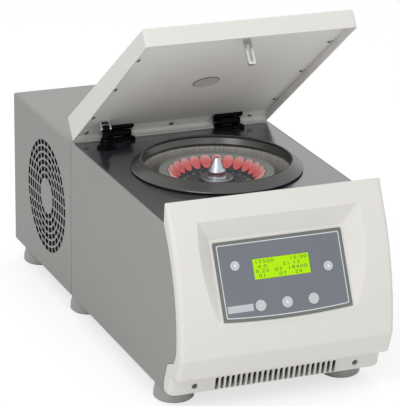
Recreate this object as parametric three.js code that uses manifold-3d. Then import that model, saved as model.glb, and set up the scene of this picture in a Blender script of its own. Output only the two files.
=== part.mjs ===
// Refrigerated bench centrifuge for 24 small tubes, standing on its feet with the lid open.
// Millimetres, +Z up, the control face looks along -Y. The pieces are drawn from two datums,
// the top of the deck (z = 0) and the seam between the two cabinet sections (y = 0), and the
// last lines set the whole object on its feet, centred on x and y.
import * as THREE from "three";
import { mergeVertices } from "three/addons/utils/BufferGeometryUtils.js";
import Module from "manifold-3d";

const wasm = await Module();
wasm.setup();

// Fits shared by every piece
const clearance = 0.3; // between pieces that seat on each other
const runningGap = 1; // round pieces that turn or slide
const overrun = 5; // how far a cutting shape reaches past what it cuts
const weldDistance = 1e-4;
const radian = Math.PI / 180;

// Cabinet of folded sheet: a front section under the deck and a rear cooling section
const cabinet = {
  panelHeight: 212,
  rearLength: 239,
  sideRoom: 24, // from the insulated bowl to the side of the cabinet
  seamRoom: 42.4, // and to the seam behind it
  frontRoom: 58.6, // and to the front of the deck
  seamGap: 1.4,
  sheet: 1.5,
  foldRadius: 2,
  ledge: 3.1, // painted strip beside the deck
  shelf: 11, // step that carries the deck
  panHeight: 20,
  partitionSetback: 8,
};
const deck = { thickness: 2 };
const foot = { height: 26, radius: 25.2, topRadius: 20.5, edge: 2.5, sideInset: 28, frontInset: 32, middle: 8.2, rearInset: 32.5 };

// Moulded front fascia. Its face and the front edge of the side panels are arcs.
const fascia = {
  crownRise: 27.4, // above the deck
  bulge: 60, // furthest reach past the front of the deck
  foldRise: 57, // above the bottom edge, where the face is furthest out
  lipRise: 29,
  lipReach: 49.5,
  skirtTopRise: 25.5,
  skirtTopReach: 27,
  skirtReach: 21,
  crownDepth: 4,
  crownRound: 1.6,
  wall: 3,
  rearWall: 2.5,
  rearLean: 2.6,
  cornerRadius: 6,
  cavityRise: 11,
};
const panelEdge = {
  deckReach: 1.9, // each reach is past the front of the deck's room
  bulge: 45.5,
  centreRise: 74, // these four heights are above the bottom edge
  arcEndRise: 65,
  heelReach: 38.8,
  heelRise: 49,
  notchReach: 17,
  notchRise: 40,
  toeReach: 5.5,
  toeRise: 14.5,
};
const slots = { count: 23, pitch: 7.05, width: 3.8, height: 14.4, rise: 8.1 };

// Sloping control panel in the recess of the fascia
const panel = {
  lean: 26.2 * radian,
  topReach: 14.8,
  topDrop: 26.4,
  width: 168,
  length: 95.8,
  bow: 3.6,
  cornerRadius: 2,
  margin: 3,
  topMargin: 4,
  flare: 1.1,
  depth: 45,
  tray: 2.5,
  overlay: 1,
};
const display = { width: 73, length: 24.5, drop: 25.2, thickness: 1.6, bezel: 2 };
const key = { radius: 7, smallRadius: 6.1, proud: 0.9, tail: 3.4, rowDrop: 81, pitch: 34.5, sideInset: 24.2, sideDrop: 30.2, sideStep: 14.3 };
const sideKeyX = panel.width / 2 - key.sideInset;
const keyPlaces = [
  { name: "key_decrease", across: -sideKeyX, drop: key.sideDrop, radius: key.smallRadius },
  { name: "key_increase", across: sideKeyX, drop: key.sideDrop + key.sideStep, radius: key.smallRadius },
  { name: "key_left", across: -key.pitch, drop: key.rowDrop, radius: key.radius },
  { name: "key_middle", across: 0, drop: key.rowDrop, radius: key.radius },
  { name: "key_right", across: key.pitch, drop: key.rowDrop, radius: key.radius },
];
const board = { width: 150, length: 84, thickness: 2, standoff: 6, postRadius: 3, postInset: 8 };

// Rotor chamber. The bowl's radius sets the rotor, the seal and the room that the cabinet gives them.
const bowl = { radius: 92, depth: 75, wall: 1.5, flange: 12, draft: 1, bottomFillet: 6, holeRadius: 24 };
const seal = {
  outerReach: 17.2, // each reach is out from the bowl
  lipReach: 3.6,
  throatReach: 1.2,
  footReach: 9,
  openingReach: 6,
  lipHeight: 12.9,
  edgeHeight: 3,
  edgeThickness: 1.6,
};
const insulation = { thickness: 24, base: 21, holeRadius: 30, gap: 0.5 };
const motor = { radius: 50, rise: 12, shoulderDepth: 24, shoulderRadius: 40, noseRadius: 22, noseRise: 3, boreDepth: 16 };
const mount = { innerRadius: 28, outerRadius: 46 };
const shaft = { radius: 6, boreGap: 0.4 };
const rotor = {
  bodyGap: 10, // to the wall of the bowl
  rimInset: 9.5, // each inset is in from the body
  seatInset: 18.5,
  seatWidth: 16,
  rimDrop: 2.5,
  bodyDrop: 41,
  bottomDrop: 52,
  hubRadius: 24,
  hubBottomDrop: 60,
  hubTopDrop: 15,
  seatOuterDrop: 3,
  dishDrop: 20.5,
  dishRadius: 24,
  places: 24,
  capRadius: 6.4,
  capProud: 4.2,
  tilt: 45 * radian,
};
const nut = { flangeRadius: 21, flangeThickness: 3.2, bodyRadius: 11.6, neckRadius: 7, tipRadius: 3.6, topRise: 13.4, shoulderRise: 2 };

// Lid, drawn closed about its hinge axis and then opened
const hinge = {
  axisSetback: 4.2, // in front of the seam
  axisRise: 7.5,
  openAngle: 36.4 * radian,
  sideInset: 63, // side of the cabinet to the middle of the hinge
  width: 40,
  waist: 36,
  leafLength: 12,
  lidLeafLength: 11,
  barrelRadius: 4.4,
  pinRadius: 1.6,
  boreGap: 0.35,
  leafThickness: 4,
  middleShare: 0.4,
  wideShare: 0.3,
};
const lid = {
  sideInset: 2.5,
  frontGap: 5, // closed, to the fascia
  rearOverhang: 7.5, // behind the hinge axis
  gap: 5, // above the deck when closed
  frontHeight: 24.1,
  rearHeight: 34.5,
  wall: 2,
  edgeRadius: 3.2,
  recess: 10,
  plate: 1.5,
  postRadius: 4,
};
const badge = { radius: 18, thickness: 0.8, behindCentre: 4 }; // behind the chamber's centre, lid closed
const striker = { behindFront: 23.2, length: 36.6, width: 9, thickness: 4, base: 17, baseThickness: 2, window: 4.6, windowLength: 24, tip: 4 };
const lock = { slotWidth: 15, slotLength: 11, width: 34, wall: 7, height: 40, catchWidth: 3.6, catchHeight: 4, catchLength: 21, travel: 9 };

// Gas strut beside the left hinge
const strut = {
  sideInset: 36,
  behindAxis: -33.9, // lid pivot from the hinge axis, lid closed
  aboveAxis: -3.5,
  footRise: 62, // above the bottom of the cabinet
  footSetback: 36,
  rodRadius: 3,
  endRadius: 4.3,
  eyeRadius: 4.5,
  eyeWidth: 8,
  endLength: 14,
  tubeRadius: 9,
  tubeTopDrop: 34,
  forkGap: 1,
  cheek: 2.2,
  cheekRadius: 3.4,
  pinRadius: 1.5,
  pinGap: 1.6,
  footEyeRadius: 6,
  footPinRadius: 2.5,
  bracketThickness: 2,
  bracketHeight: 30,
  holeRadius: 9.5,
  bootRadius: 11.9,
  bootInnerRadius: 9.8,
  bootTopRadius: 10.9,
  bootHeight: 4.5,
};

// Cooling section
const grille = { behindSeam: 100.8, aboveMiddle: 0.2, innerRadius: 28.3, ringPitch: 9.14, rings: 6, slotWidth: 6.6, outerCount: 32, countStep: 4, web: 2.8 };
const fan = { hubRadius: 18, radius: 66, depth: 20, blades: 7, bladeThickness: 2.4, gap: 14, pitch: 32 * radian, rootShare: 0.42 };
const fanMotor = { radius: 21, length: 34, bracket: 2, bracketWidth: 44, footLength: 18, spindle: 3 };
const condenser = { width: 150, topDrop: 42.2, thickness: 32, fins: 14, finDepth: 8, coreShare: 0.5, insetFromLeft: 76 };
const compressor = { radius: 48, height: 118, footRadius: 56, footThickness: 4, sideInset: 64, behindSeam: 112, neckRadius: 22, seamRadius: 51 };
const pipe = { radius: 3.2, sides: 8, steps: 26 };
const inlet = { width: 48, height: 27, flange: 2, depth: 26, socketWidth: 24.5, socketHeight: 16.5, socketDepth: 17, pinLength: 10, pinWidth: 2, pinHeight: 4, sideInset: 52, rise: 34 };
const rocker = { width: 21, height: 25, depth: 12, proud: 3, sideInset: 104, tilt: 8 * radian };
const louvre = { rows: 10, pitch: 11, height: 4, width: 96, topDrop: 42, sideInset: 78 };
const roundSides = 48;

// Places and lengths that follow from the values above
const insulationRadius = bowl.radius + insulation.thickness;
const insulationBottom = -bowl.depth - insulation.base;
const halfWidth = insulationRadius + cabinet.sideRoom;
const frontLength = 2 * insulationRadius + cabinet.seamRoom + cabinet.frontRoom;
const chamberY = -insulationRadius - cabinet.seamRoom;
const innerHalf = halfWidth - cabinet.sheet - clearance;
const deckHalf = halfWidth - cabinet.ledge - clearance;
const shelfDrop = deck.thickness + clearance;
const floorTop = cabinet.sheet - cabinet.panelHeight;
const foldZ = fascia.foldRise - cabinet.panelHeight;
const grilleZ = grille.aboveMiddle - cabinet.panelHeight / 2;
const inletX = halfWidth - inlet.sideInset;
const inletZ = inlet.rise - cabinet.panelHeight;
const rockerX = halfWidth - rocker.sideInset;
const strutX = strut.sideInset - halfWidth;
const compressorX = halfWidth - compressor.sideInset;
const motorBottom = motor.rise - cabinet.panelHeight;

function paint(colour, roughness, metalness) {
  return new THREE.MeshStandardMaterial({ color: colour, roughness: roughness, metalness: metalness });
}
const greyPaint = () => paint(0x969694, 0.55, 0.1);
const offWhite = () => paint(0xe6e4de, 0.5, 0);
const darkDeck = () => paint(0x34343c, 0.25, 0.1);
const blackRubber = () => paint(0x2d2d2a, 0.8, 0);
const blackPlastic = () => paint(0x141414, 0.5, 0);
const steel = () => paint(0xb8babc, 0.3, 1);
const greyPlate = () => paint(0xb4b4ae, 0.45, 0.2);
const foam = () => paint(0x3b3b3e, 0.9, 0);
const copper = () => paint(0xb4693e, 0.35, 1);

const root = new THREE.Group();
const lidGroup = new THREE.Group();
lidGroup.position.set(0, -hinge.axisSetback, hinge.axisRise);
lidGroup.rotation.x = -hinge.openAngle;
root.add(lidGroup);

function place(name, geometry, material, group = root) {
  const mesh = new THREE.Mesh(geometry, material);
  mesh.name = name;
  group.add(mesh);
  return mesh;
}

// A closed geometry as a solid, and back
function toSolid(geometry) {
  const plain = geometry.clone();
  plain.deleteAttribute("normal");
  plain.deleteAttribute("uv");
  const merged = mergeVertices(plain, weldDistance);
  const triVerts = new Uint32Array(merged.index.array);
  const vertProperties = merged.attributes.position.array;
  return new wasm.Manifold(new wasm.Mesh({ numProp: 3, vertProperties, triVerts }));
}

function toGeometry(solid) {
  const mesh = solid.getMesh();
  const geometry = new THREE.BufferGeometry();
  geometry.setAttribute("position", new THREE.BufferAttribute(mesh.vertProperties, 3));
  geometry.setIndex(new THREE.BufferAttribute(mesh.triVerts, 1));
  geometry.computeVertexNormals();
  return geometry;
}

function cut(body, ...tools) {
  let solid = toSolid(body);
  for (const tool of tools) solid = solid.subtract(toSolid(tool));
  return toGeometry(solid);
}

function join(...pieces) {
  let solid = toSolid(pieces[0]);
  for (const piece of pieces.slice(1)) solid = solid.add(toSolid(piece));
  return toGeometry(solid);
}

function common(body, other) {
  return toGeometry(toSolid(body).intersect(toSolid(other)));
}

// Outlines run anticlockwise, so that the holes cut in them face the right way
function shapeOf(outline) {
  const points = outline.map(([a, b]) => new THREE.Vector2(a, b));
  if (THREE.ShapeUtils.isClockWise(points)) points.reverse();
  return new THREE.Shape(points);
}

// Extrusions of outlines: up from a plan, along x from a side view, back along y from a front view
function slab(outlines, depth) {
  return new THREE.ExtrudeGeometry(outlines.map(shapeOf), { depth: depth, bevelEnabled: false });
}

function pierced(outlines, depth, holes) {
  if (holes.length === 0) return slab(outlines, depth);
  return cut(slab(outlines, depth), slab(holes, depth + 2 * overrun).translate(0, 0, -overrun));
}

function extrudeUp(outlines, bottom, top, holes = []) {
  return pierced(outlines, top - bottom, holes).translate(0, 0, bottom);
}

function extrudeAcross(outlines, left, right, bevel = 0) {
  const rounding = { bevelEnabled: bevel > 0, bevelSize: bevel, bevelThickness: bevel, bevelOffset: -bevel, bevelSegments: 3 };
  const geometry = new THREE.ExtrudeGeometry(outlines.map(shapeOf), { depth: right - left - 2 * bevel, ...rounding });
  geometry.translate(0, 0, left + bevel);
  const turn = new THREE.Matrix4().makeBasis(new THREE.Vector3(0, 1, 0), new THREE.Vector3(0, 0, 1), new THREE.Vector3(1, 0, 0));
  return geometry.applyMatrix4(turn);
}

function extrudeBack(outlines, front, back, holes = []) {
  return pierced(outlines, back - front, holes).rotateX(Math.PI / 2).translate(0, back, 0);
}

function block(x0, x1, y0, y1, z0, z1) {
  const geometry = new THREE.BoxGeometry(x1 - x0, y1 - y0, z1 - z0);
  return geometry.translate((x0 + x1) / 2, (y0 + y1) / 2, (z0 + z1) / 2);
}

// Cylinders that stand up, and that lie across the object
function post(radius, bottom, top, x = 0, y = 0, sides = 16) {
  const geometry = new THREE.CylinderGeometry(radius, radius, top - bottom, sides);
  return geometry.rotateX(Math.PI / 2).translate(x, y, (bottom + top) / 2);
}

function axle(radius, left, right, y, z, sides = 16) {
  const geometry = new THREE.CylinderGeometry(radius, radius, right - left, sides);
  return geometry.rotateZ(Math.PI / 2).translate((left + right) / 2, y, z);
}

// A solid of revolution about z from [radius, height] points that start and end on the axis or close
function turned(profile, sides = roundSides) {
  let area = 0;
  profile.forEach(([r, z], i) => {
    const [nextR, nextZ] = profile[(i + 1) % profile.length];
    area += r * nextZ - nextR * z;
  });
  const points = (area > 0 ? profile : [...profile].reverse()).map(([r, z]) => new THREE.Vector2(r, z));
  if (points[0].x > 0) points.push(points[0].clone());
  return new THREE.LatheGeometry(points, sides).rotateX(Math.PI / 2);
}

function circle(radius, x = 0, y = 0, sides = roundSides) {
  return Array.from({ length: sides }, (_, i) => {
    const angle = (2 * Math.PI * i) / sides;
    return [x + radius * Math.cos(angle), y + radius * Math.sin(angle)];
  });
}

function rectangle(x0, x1, y0, y1) {
  return [[x0, y0], [x1, y0], [x1, y1], [x0, y1]];
}

// Points of an arc about [centreY, centreZ] that faces the front, from one height down to another
function frontArc(centreY, centreZ, radius, fromZ, toZ, steps) {
  return Array.from({ length: steps + 1 }, (_, i) => {
    const z = fromZ + ((toZ - fromZ) * i) / steps;
    return [centreY - Math.sqrt(radius ** 2 - (z - centreZ) ** 2), z];
  });
}

// Radius of an arc that stands upright at its furthest point and falls back by a depth over a height
function arcRadius(height, depth) {
  return (height ** 2 + depth ** 2) / (2 * depth);
}

// The line where the fascia meets the side panels, from the deck down
function meetingLine(shift) {
  const bottom = -cabinet.panelHeight;
  const centreZ = bottom + panelEdge.centreRise;
  const radius = arcRadius(centreZ, panelEdge.bulge - panelEdge.deckReach);
  const centreY = radius - frontLength - panelEdge.bulge;
  const arc = frontArc(centreY, centreZ, radius, 0, bottom + panelEdge.arcEndRise, 16);
  const heel = [
    [-frontLength - panelEdge.heelReach, bottom + panelEdge.heelRise],
    [-frontLength - panelEdge.notchReach, bottom + panelEdge.notchRise],
    [-frontLength - panelEdge.toeReach, bottom + panelEdge.toeRise],
    [-frontLength - panelEdge.toeReach, bottom - shift],
  ];
  return [...arc, ...heel].map(([y, z]) => [y + shift, z + shift]);
}

const deckEdge = meetingLine(0)[0][0];

// Sheet section with the painted strip and the shelf for the deck, on the left (-1) or right (1)
function panelSection(side) {
  const turn = Array.from({ length: 4 }, (_, i) => {
    const angle = (Math.PI / 2) * (i / 3);
    const offset = cabinet.foldRadius;
    return [halfWidth - offset + offset * Math.cos(angle), -offset + offset * Math.sin(angle)];
  });
  const section = [
    [halfWidth, -cabinet.panelHeight],
    ...turn,
    [halfWidth - cabinet.ledge, 0],
    [halfWidth - cabinet.ledge, -shelfDrop],
    [halfWidth - cabinet.ledge - cabinet.shelf, -shelfDrop],
    [halfWidth - cabinet.ledge - cabinet.shelf, -shelfDrop - cabinet.sheet],
    [halfWidth - cabinet.sheet, -shelfDrop - cabinet.sheet],
    [halfWidth - cabinet.sheet, -cabinet.panelHeight],
  ];
  return section.map(([x, z]) => [side * x, z]);
}

function sidePanel(side) {
  const bar = extrudeBack([panelSection(side)], -frontLength - panelEdge.bulge - overrun, -cabinet.seamGap / 2);
  const outline = [...meetingLine(clearance), [overrun, -cabinet.panelHeight - overrun], [overrun, overrun]];
  outline.unshift([deckEdge + clearance, overrun]);
  const keep = extrudeAcross([outline], -halfWidth - overrun, halfWidth + overrun);
  return common(bar, keep);
}

// One curved slot of the fan grille, in the side view
function grilleSlot(ring, index, count) {
  const middle = grille.innerRadius + ring * grille.ringPitch;
  const inner = middle - grille.slotWidth / 2;
  const outer = middle + grille.slotWidth / 2;
  const step = (2 * Math.PI) / count;
  const centre = index * step;
  const half = (step - grille.web / middle) / 2;
  const points = [
    [inner, -half],
    [outer, -half],
    [outer, half],
    [inner, half],
  ];
  return points.map(([r, a]) => [grille.behindSeam + r * Math.cos(centre + a), grilleZ + r * Math.sin(centre + a)]);
}

function grilleSlots() {
  const found = [];
  for (let ring = 0; ring < grille.rings; ring += 1) {
    const count = grille.outerCount - grille.countStep * (grille.rings - 1 - ring);
    for (let index = 0; index < count; index += 1) found.push(grilleSlot(ring, index, count));
  }
  return extrudeAcross(found, -halfWidth - overrun, -halfWidth + cabinet.sheet + overrun);
}

function rearSidePanel(side) {
  const bar = extrudeBack([panelSection(side)], cabinet.seamGap / 2, cabinet.rearLength);
  if (side > 0) return bar;
  return cut(bar, grilleSlots());
}

function buildCabinet() {
  place("left_side_panel", sidePanel(-1), greyPaint());
  place("right_side_panel", sidePanel(1), greyPaint());
  place("rear_left_panel", rearSidePanel(-1), greyPaint());
  place("rear_right_panel", rearSidePanel(1), greyPaint());
  const topOutline = rectangle(-deckHalf, deckHalf, cabinet.seamGap / 2, cabinet.rearLength);
  place("rear_top_panel", extrudeUp([topOutline], -deck.thickness, 0), greyPaint());
  place("rear_panel", rearPanel(), greyPaint());
  place("base_pan", basePan(), greyPaint());
  place("partition_plate", partitionPlate(), greyPaint());
}

// Folded tray: floor, side flanges
function basePan() {
  const flange = floorTop + cabinet.panHeight;
  const bottom = -cabinet.panelHeight;
  const section = [
    [-innerHalf, bottom],
    [innerHalf, bottom],
    [innerHalf, flange],
    [innerHalf - cabinet.sheet, flange],
    [innerHalf - cabinet.sheet, floorTop],
    [cabinet.sheet - innerHalf, floorTop],
    [cabinet.sheet - innerHalf, flange],
    [-innerHalf, flange],
  ];
  const front = -frontLength - panelEdge.toeReach + 2 * clearance;
  return extrudeBack([section], front, cabinet.rearLength - cabinet.sheet - clearance);
}

function rearPanel() {
  const back = cabinet.rearLength;
  const outline = rectangle(-innerHalf, innerHalf, -cabinet.panelHeight, -shelfDrop - cabinet.sheet - clearance);
  const holes = [
    rectangle(
      inletX - inlet.width / 2 + inlet.flange,
      inletX + inlet.width / 2 - inlet.flange,
      inletZ - inlet.height / 2 + inlet.flange,
      inletZ + inlet.height / 2 - inlet.flange,
    ),
    rectangle(
      rockerX - rocker.width / 2 - runningGap / 2,
      rockerX + rocker.width / 2 + runningGap / 2,
      inletZ - rocker.height / 2 - runningGap,
      inletZ + rocker.height / 2 + runningGap,
    ),
  ];
  const louvreX = louvre.sideInset - halfWidth;
  for (let row = 0; row < louvre.rows; row += 1) {
    const top = -louvre.topDrop - row * louvre.pitch;
    holes.push(rectangle(louvreX - louvre.width / 2, louvreX + louvre.width / 2, top - louvre.height, top));
  }
  return extrudeBack([outline], back - cabinet.sheet, back, holes);
}

function partitionPlate() {
  const top = -shelfDrop - cabinet.sheet - clearance;
  const side = innerHalf - cabinet.sheet - clearance;
  const pipeHole = circle(2 * pipe.radius, pipeCrossing.x, pipeCrossing.z, 16);
  return extrudeBack(
    [rectangle(-side, side, floorTop + clearance, top)],
    -cabinet.partitionSetback,
    -cabinet.partitionSetback + cabinet.sheet,
    [pipeHole],
  );
}

function buildDeck() {
  const outline = rectangle(-deckHalf, deckHalf, deckEdge + 2 * clearance, -cabinet.seamGap / 2);
  const halfSlot = lock.slotWidth / 2;
  const halfLength = lock.slotLength / 2;
  const holes = [
    circle(bowl.radius + seal.openingReach, 0, chamberY),
    rectangle(-halfSlot, halfSlot, strikerY - halfLength, strikerY + halfLength),
    circle(strut.holeRadius, strutX, strutHoleY, 20),
  ];
  place("top_deck", extrudeUp([outline], -deck.thickness, 0, holes), darkDeck());
}

// Places that follow from the lid: the striker of the closed lid, and the strut's upper pivot
const strikerY = deckEdge + lid.frontGap + striker.behindFront;

function openedAboutHinge(y, z) {
  const cosine = Math.cos(hinge.openAngle);
  const sine = Math.sin(hinge.openAngle);
  return { y: y * cosine + z * sine - hinge.axisSetback, z: z * cosine - y * sine + hinge.axisRise };
}

const strutPivot = {
  closed: { y: strut.behindAxis - hinge.axisSetback, z: strut.aboveAxis + hinge.axisRise },
  open: openedAboutHinge(strut.behindAxis, strut.aboveAxis),
};
const strutHoleY = (strutPivot.closed.y + strutPivot.open.y) / 2;
const pipeCrossing = { x: 52, z: strut.footRise - cabinet.panelHeight };

// Rubber seal round the chamber: a wide sloping collar with a raised inner lip
function sealRing() {
  const opening = bowl.radius + seal.openingReach - clearance;
  const footRadius = bowl.radius + seal.footReach;
  const outer = bowl.radius + seal.outerReach;
  const lip = bowl.radius + seal.lipReach;
  const throat = bowl.radius + seal.throatReach;
  const profile = [
    [throat, -deck.thickness],
    [opening, -deck.thickness],
    [opening, clearance],
    [footRadius, clearance],
    [footRadius, seal.edgeHeight - seal.edgeThickness / 2],
    [outer, seal.edgeHeight - seal.edgeThickness],
    [outer, seal.edgeHeight],
    [lip + seal.edgeThickness, seal.lipHeight - seal.edgeThickness / 2],
    [lip, seal.lipHeight],
    [lip - seal.edgeThickness, seal.lipHeight - seal.edgeThickness],
    [throat, 0],
  ];
  return turned(profile).translate(0, chamberY, 0);
}

function bowlShell() {
  const rim = -shelfDrop;
  const bottom = -bowl.depth;
  const inner = bowl.radius - bowl.draft;
  const profile = [
    [bowl.holeRadius, bottom - bowl.wall],
    [inner - bowl.bottomFillet, bottom - bowl.wall],
    [inner + bowl.wall, bottom + bowl.bottomFillet],
    [bowl.radius + bowl.wall, rim - bowl.wall],
    [bowl.radius + bowl.flange, rim - bowl.wall],
    [bowl.radius + bowl.flange, rim],
    [bowl.radius, rim],
    [inner, bottom + bowl.bottomFillet],
    [inner - bowl.bottomFillet, bottom],
    [bowl.holeRadius, bottom],
  ];
  return turned(profile).translate(0, chamberY, 0);
}

function insulationJacket() {
  const top = -shelfDrop - bowl.wall - clearance;
  const bottom = insulationBottom;
  const wall = bowl.wall + insulation.gap;
  const inner = bowl.radius - bowl.draft + wall;
  const profile = [
    [insulation.holeRadius, bottom],
    [insulationRadius, bottom],
    [insulationRadius, top],
    [bowl.radius + wall, top],
    [inner, bowl.bottomFillet - bowl.depth],
    [inner - bowl.bottomFillet, -bowl.depth - wall],
    [insulation.holeRadius, -bowl.depth - wall],
  ];
  return turned(profile, 32).translate(0, chamberY, 0);
}

function buildDrive() {
  const bore = shaft.radius + shaft.boreGap;
  const shoulder = -bowl.depth - motor.shoulderDepth;
  const nose = -bowl.depth + motor.noseRise;
  const motorProfile = [
    [0, motorBottom],
    [motor.radius, motorBottom],
    [motor.radius, shoulder - motor.radius + motor.shoulderRadius],
    [motor.shoulderRadius, shoulder],
    [motor.noseRadius, shoulder],
    [motor.noseRadius, nose],
    [bore, nose],
    [bore, nose - motor.boreDepth],
    [0, nose - motor.boreDepth],
  ];
  place("drive_motor", turned(motorProfile, 32).translate(0, chamberY, 0), steel());
  const mountProfile = [
    [mount.innerRadius, floorTop + clearance],
    [mount.outerRadius, floorTop + clearance],
    [mount.outerRadius, motorBottom - clearance],
    [mount.innerRadius, motorBottom - clearance],
  ];
  place("motor_mount", turned(mountProfile, 32).translate(0, chamberY, 0), blackRubber());
  const shaftBottom = clearance + nose - motor.boreDepth;
  place("motor_shaft", post(shaft.radius, shaftBottom, -rotor.hubTopDrop - clearance, 0, chamberY, 24), steel());
}

// Fixed-angle rotor: turned body, 24 capped tubes in the sloping seat
function rotorHead() {
  const bore = shaft.radius + shaft.boreGap;
  const rim = rotor.rimDrop;
  const bodyRadius = bowl.radius - rotor.bodyGap;
  const rimRadius = bodyRadius - rotor.rimInset;
  const seatOuter = bodyRadius - rotor.seatInset;
  const seatInner = seatOuter - rotor.seatWidth;
  const seatInnerDrop = rotor.seatOuterDrop + rotor.seatWidth * Math.tan(rotor.tilt);
  const profile = [
    [bore, -rotor.hubBottomDrop],
    [rotor.hubRadius, -rotor.hubBottomDrop],
    [rotor.hubRadius, -rotor.bottomDrop],
    [bodyRadius - rim, -rotor.bottomDrop],
    [bodyRadius, -rotor.bottomDrop + rim],
    [bodyRadius, -rotor.bodyDrop],
    [rimRadius + rim / 2, -2 * rim],
    [rimRadius, -rim],
    [rimRadius - rim, -rim],
    [seatOuter, -rotor.seatOuterDrop],
    [seatInner, -seatInnerDrop],
    [rotor.dishRadius, -rotor.dishDrop],
    [rotor.dishRadius - rim, -rotor.hubTopDrop],
    [bore, -rotor.hubTopDrop],
  ];
  let body = toSolid(turned(profile));
  const middleRadius = (seatOuter + seatInner) / 2;
  const middleDrop = (rotor.seatOuterDrop + seatInnerDrop) / 2;
  for (let place24 = 0; place24 < rotor.places; place24 += 1) {
    const cap = post(rotor.capRadius, -rotor.capRadius, rotor.capProud, 0, 0, 8);
    cap.rotateY(-rotor.tilt).translate(middleRadius, 0, -middleDrop);
    cap.rotateZ((2 * Math.PI * place24) / rotor.places);
    body = body.add(toSolid(cap));
  }
  return toGeometry(body).translate(0, chamberY, 0);
}

function rotorNut() {
  const base = clearance - rotor.hubTopDrop;
  const flangeTop = base + nut.flangeThickness;
  const profile = [
    [0, base],
    [nut.flangeRadius, base],
    [nut.flangeRadius, flangeTop - nut.flangeThickness / 3],
    [nut.flangeRadius - nut.flangeThickness / 2, flangeTop],
    [nut.bodyRadius + nut.flangeThickness / 3, flangeTop + nut.flangeThickness / 3],
    [nut.bodyRadius, flangeTop + nut.flangeThickness],
    [nut.bodyRadius, -nut.shoulderRise],
    [nut.bodyRadius - nut.shoulderRise, nut.shoulderRise],
    [nut.neckRadius, 2 * nut.shoulderRise],
    [nut.tipRadius, nut.topRise - 2 * nut.shoulderRise],
    [nut.tipRadius, nut.topRise],
    [0, nut.topRise],
  ];
  return turned(profile, 28).translate(0, chamberY, 0);
}

function buildFeet() {
  const top = -cabinet.panelHeight - clearance;
  const bottom = -cabinet.panelHeight - foot.height;
  const profile = [
    [0, bottom],
    [foot.radius - foot.edge, bottom],
    [foot.radius, bottom + foot.edge],
    [foot.radius - foot.edge / 3, (top + bottom) / 2],
    [foot.topRadius, top],
    [0, top],
  ];
  const across = halfWidth - foot.sideInset;
  const rows = [
    { row: "front", y: foot.frontInset - frontLength },
    { row: "middle", y: foot.middle },
    { row: "rear", y: cabinet.rearLength - foot.rearInset },
  ];
  for (const { row, y } of rows) {
    place("foot_" + row + "_left", turned(profile, 24).translate(-across, y, 0), blackRubber());
    place("foot_" + row + "_right", turned(profile, 24).translate(across, y, 0), blackRubber());
  }
}

// Side view of the fascia. The face is an arc; below it the lip turns under to the slotted skirt.
function fasciaFace(inset) {
  const front = -frontLength;
  const crownFront = deckEdge - fascia.rearLean - fascia.crownDepth;
  const radius = arcRadius(fascia.crownRise - fascia.crownDepth - foldZ, frontLength + fascia.bulge + crownFront);
  const centreY = radius - frontLength - fascia.bulge;
  const arcTop = inset > 0 ? fascia.cavityRise : fascia.crownRise - fascia.crownDepth;
  const bottom = inset - cabinet.panelHeight;
  const arc = frontArc(centreY, foldZ, radius - inset, arcTop, foldZ, 26);
  return [
    ...arc,
    [front - fascia.lipReach + inset, bottom + fascia.lipRise],
    [front - fascia.skirtTopReach + inset, bottom + fascia.skirtTopRise],
    [front - fascia.skirtReach + inset, bottom],
  ];
}

function fasciaOutline() {
  const crownY = deckEdge - fascia.rearLean;
  const crown = [
    [crownY - fascia.crownRound, fascia.crownRise],
    [crownY - fascia.crownDepth + fascia.crownRound, fascia.crownRise - fascia.crownRound],
  ];
  const back = meetingLine(0).reverse();
  return [[crownY, fascia.crownRise - fascia.crownRound / 2], ...crown, ...fasciaFace(0), ...back];
}

// Frame of the sloping panel: x across, y up the slope, z out of the face, origin at its top edge
function panelFrame() {
  const frame = new THREE.Matrix4().makeRotationX(Math.PI / 2 - panel.lean);
  frame.setPosition(0, -frontLength - panel.topReach, -panel.topDrop);
  return frame;
}

function onPanel(geometry) {
  return geometry.applyMatrix4(panelFrame());
}

// A tapering block between two rectangles on the panel's frame
function flaredBlock(low, lowHeight, high, highHeight) {
  const corners = [...rectangle(...low).map(([x, y]) => [x, y, lowHeight]), ...rectangle(...high).map(([x, y]) => [x, y, highHeight])];
  const faces = [0, 2, 1, 0, 3, 2, 4, 5, 6, 4, 6, 7, 0, 1, 5, 0, 5, 4, 1, 2, 6, 1, 6, 5, 2, 3, 7, 2, 7, 6, 3, 0, 4, 3, 4, 7];
  const geometry = new THREE.BufferGeometry();
  geometry.setAttribute("position", new THREE.Float32BufferAttribute(corners.flat(), 3));
  geometry.setIndex(faces);
  return geometry;
}

function recessShape(growth) {
  const half = panel.width / 2 + panel.margin + growth;
  const top = panel.topMargin + growth;
  const bottom = -panel.length - panel.bow - panel.margin - growth;
  const spread = panel.flare * panel.depth;
  const low = [-half, half, bottom, top];
  const high = [-half - spread, half + spread, bottom - growth, top + spread];
  return onPanel(flaredBlock(low, -growth, high, panel.depth));
}

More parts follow.
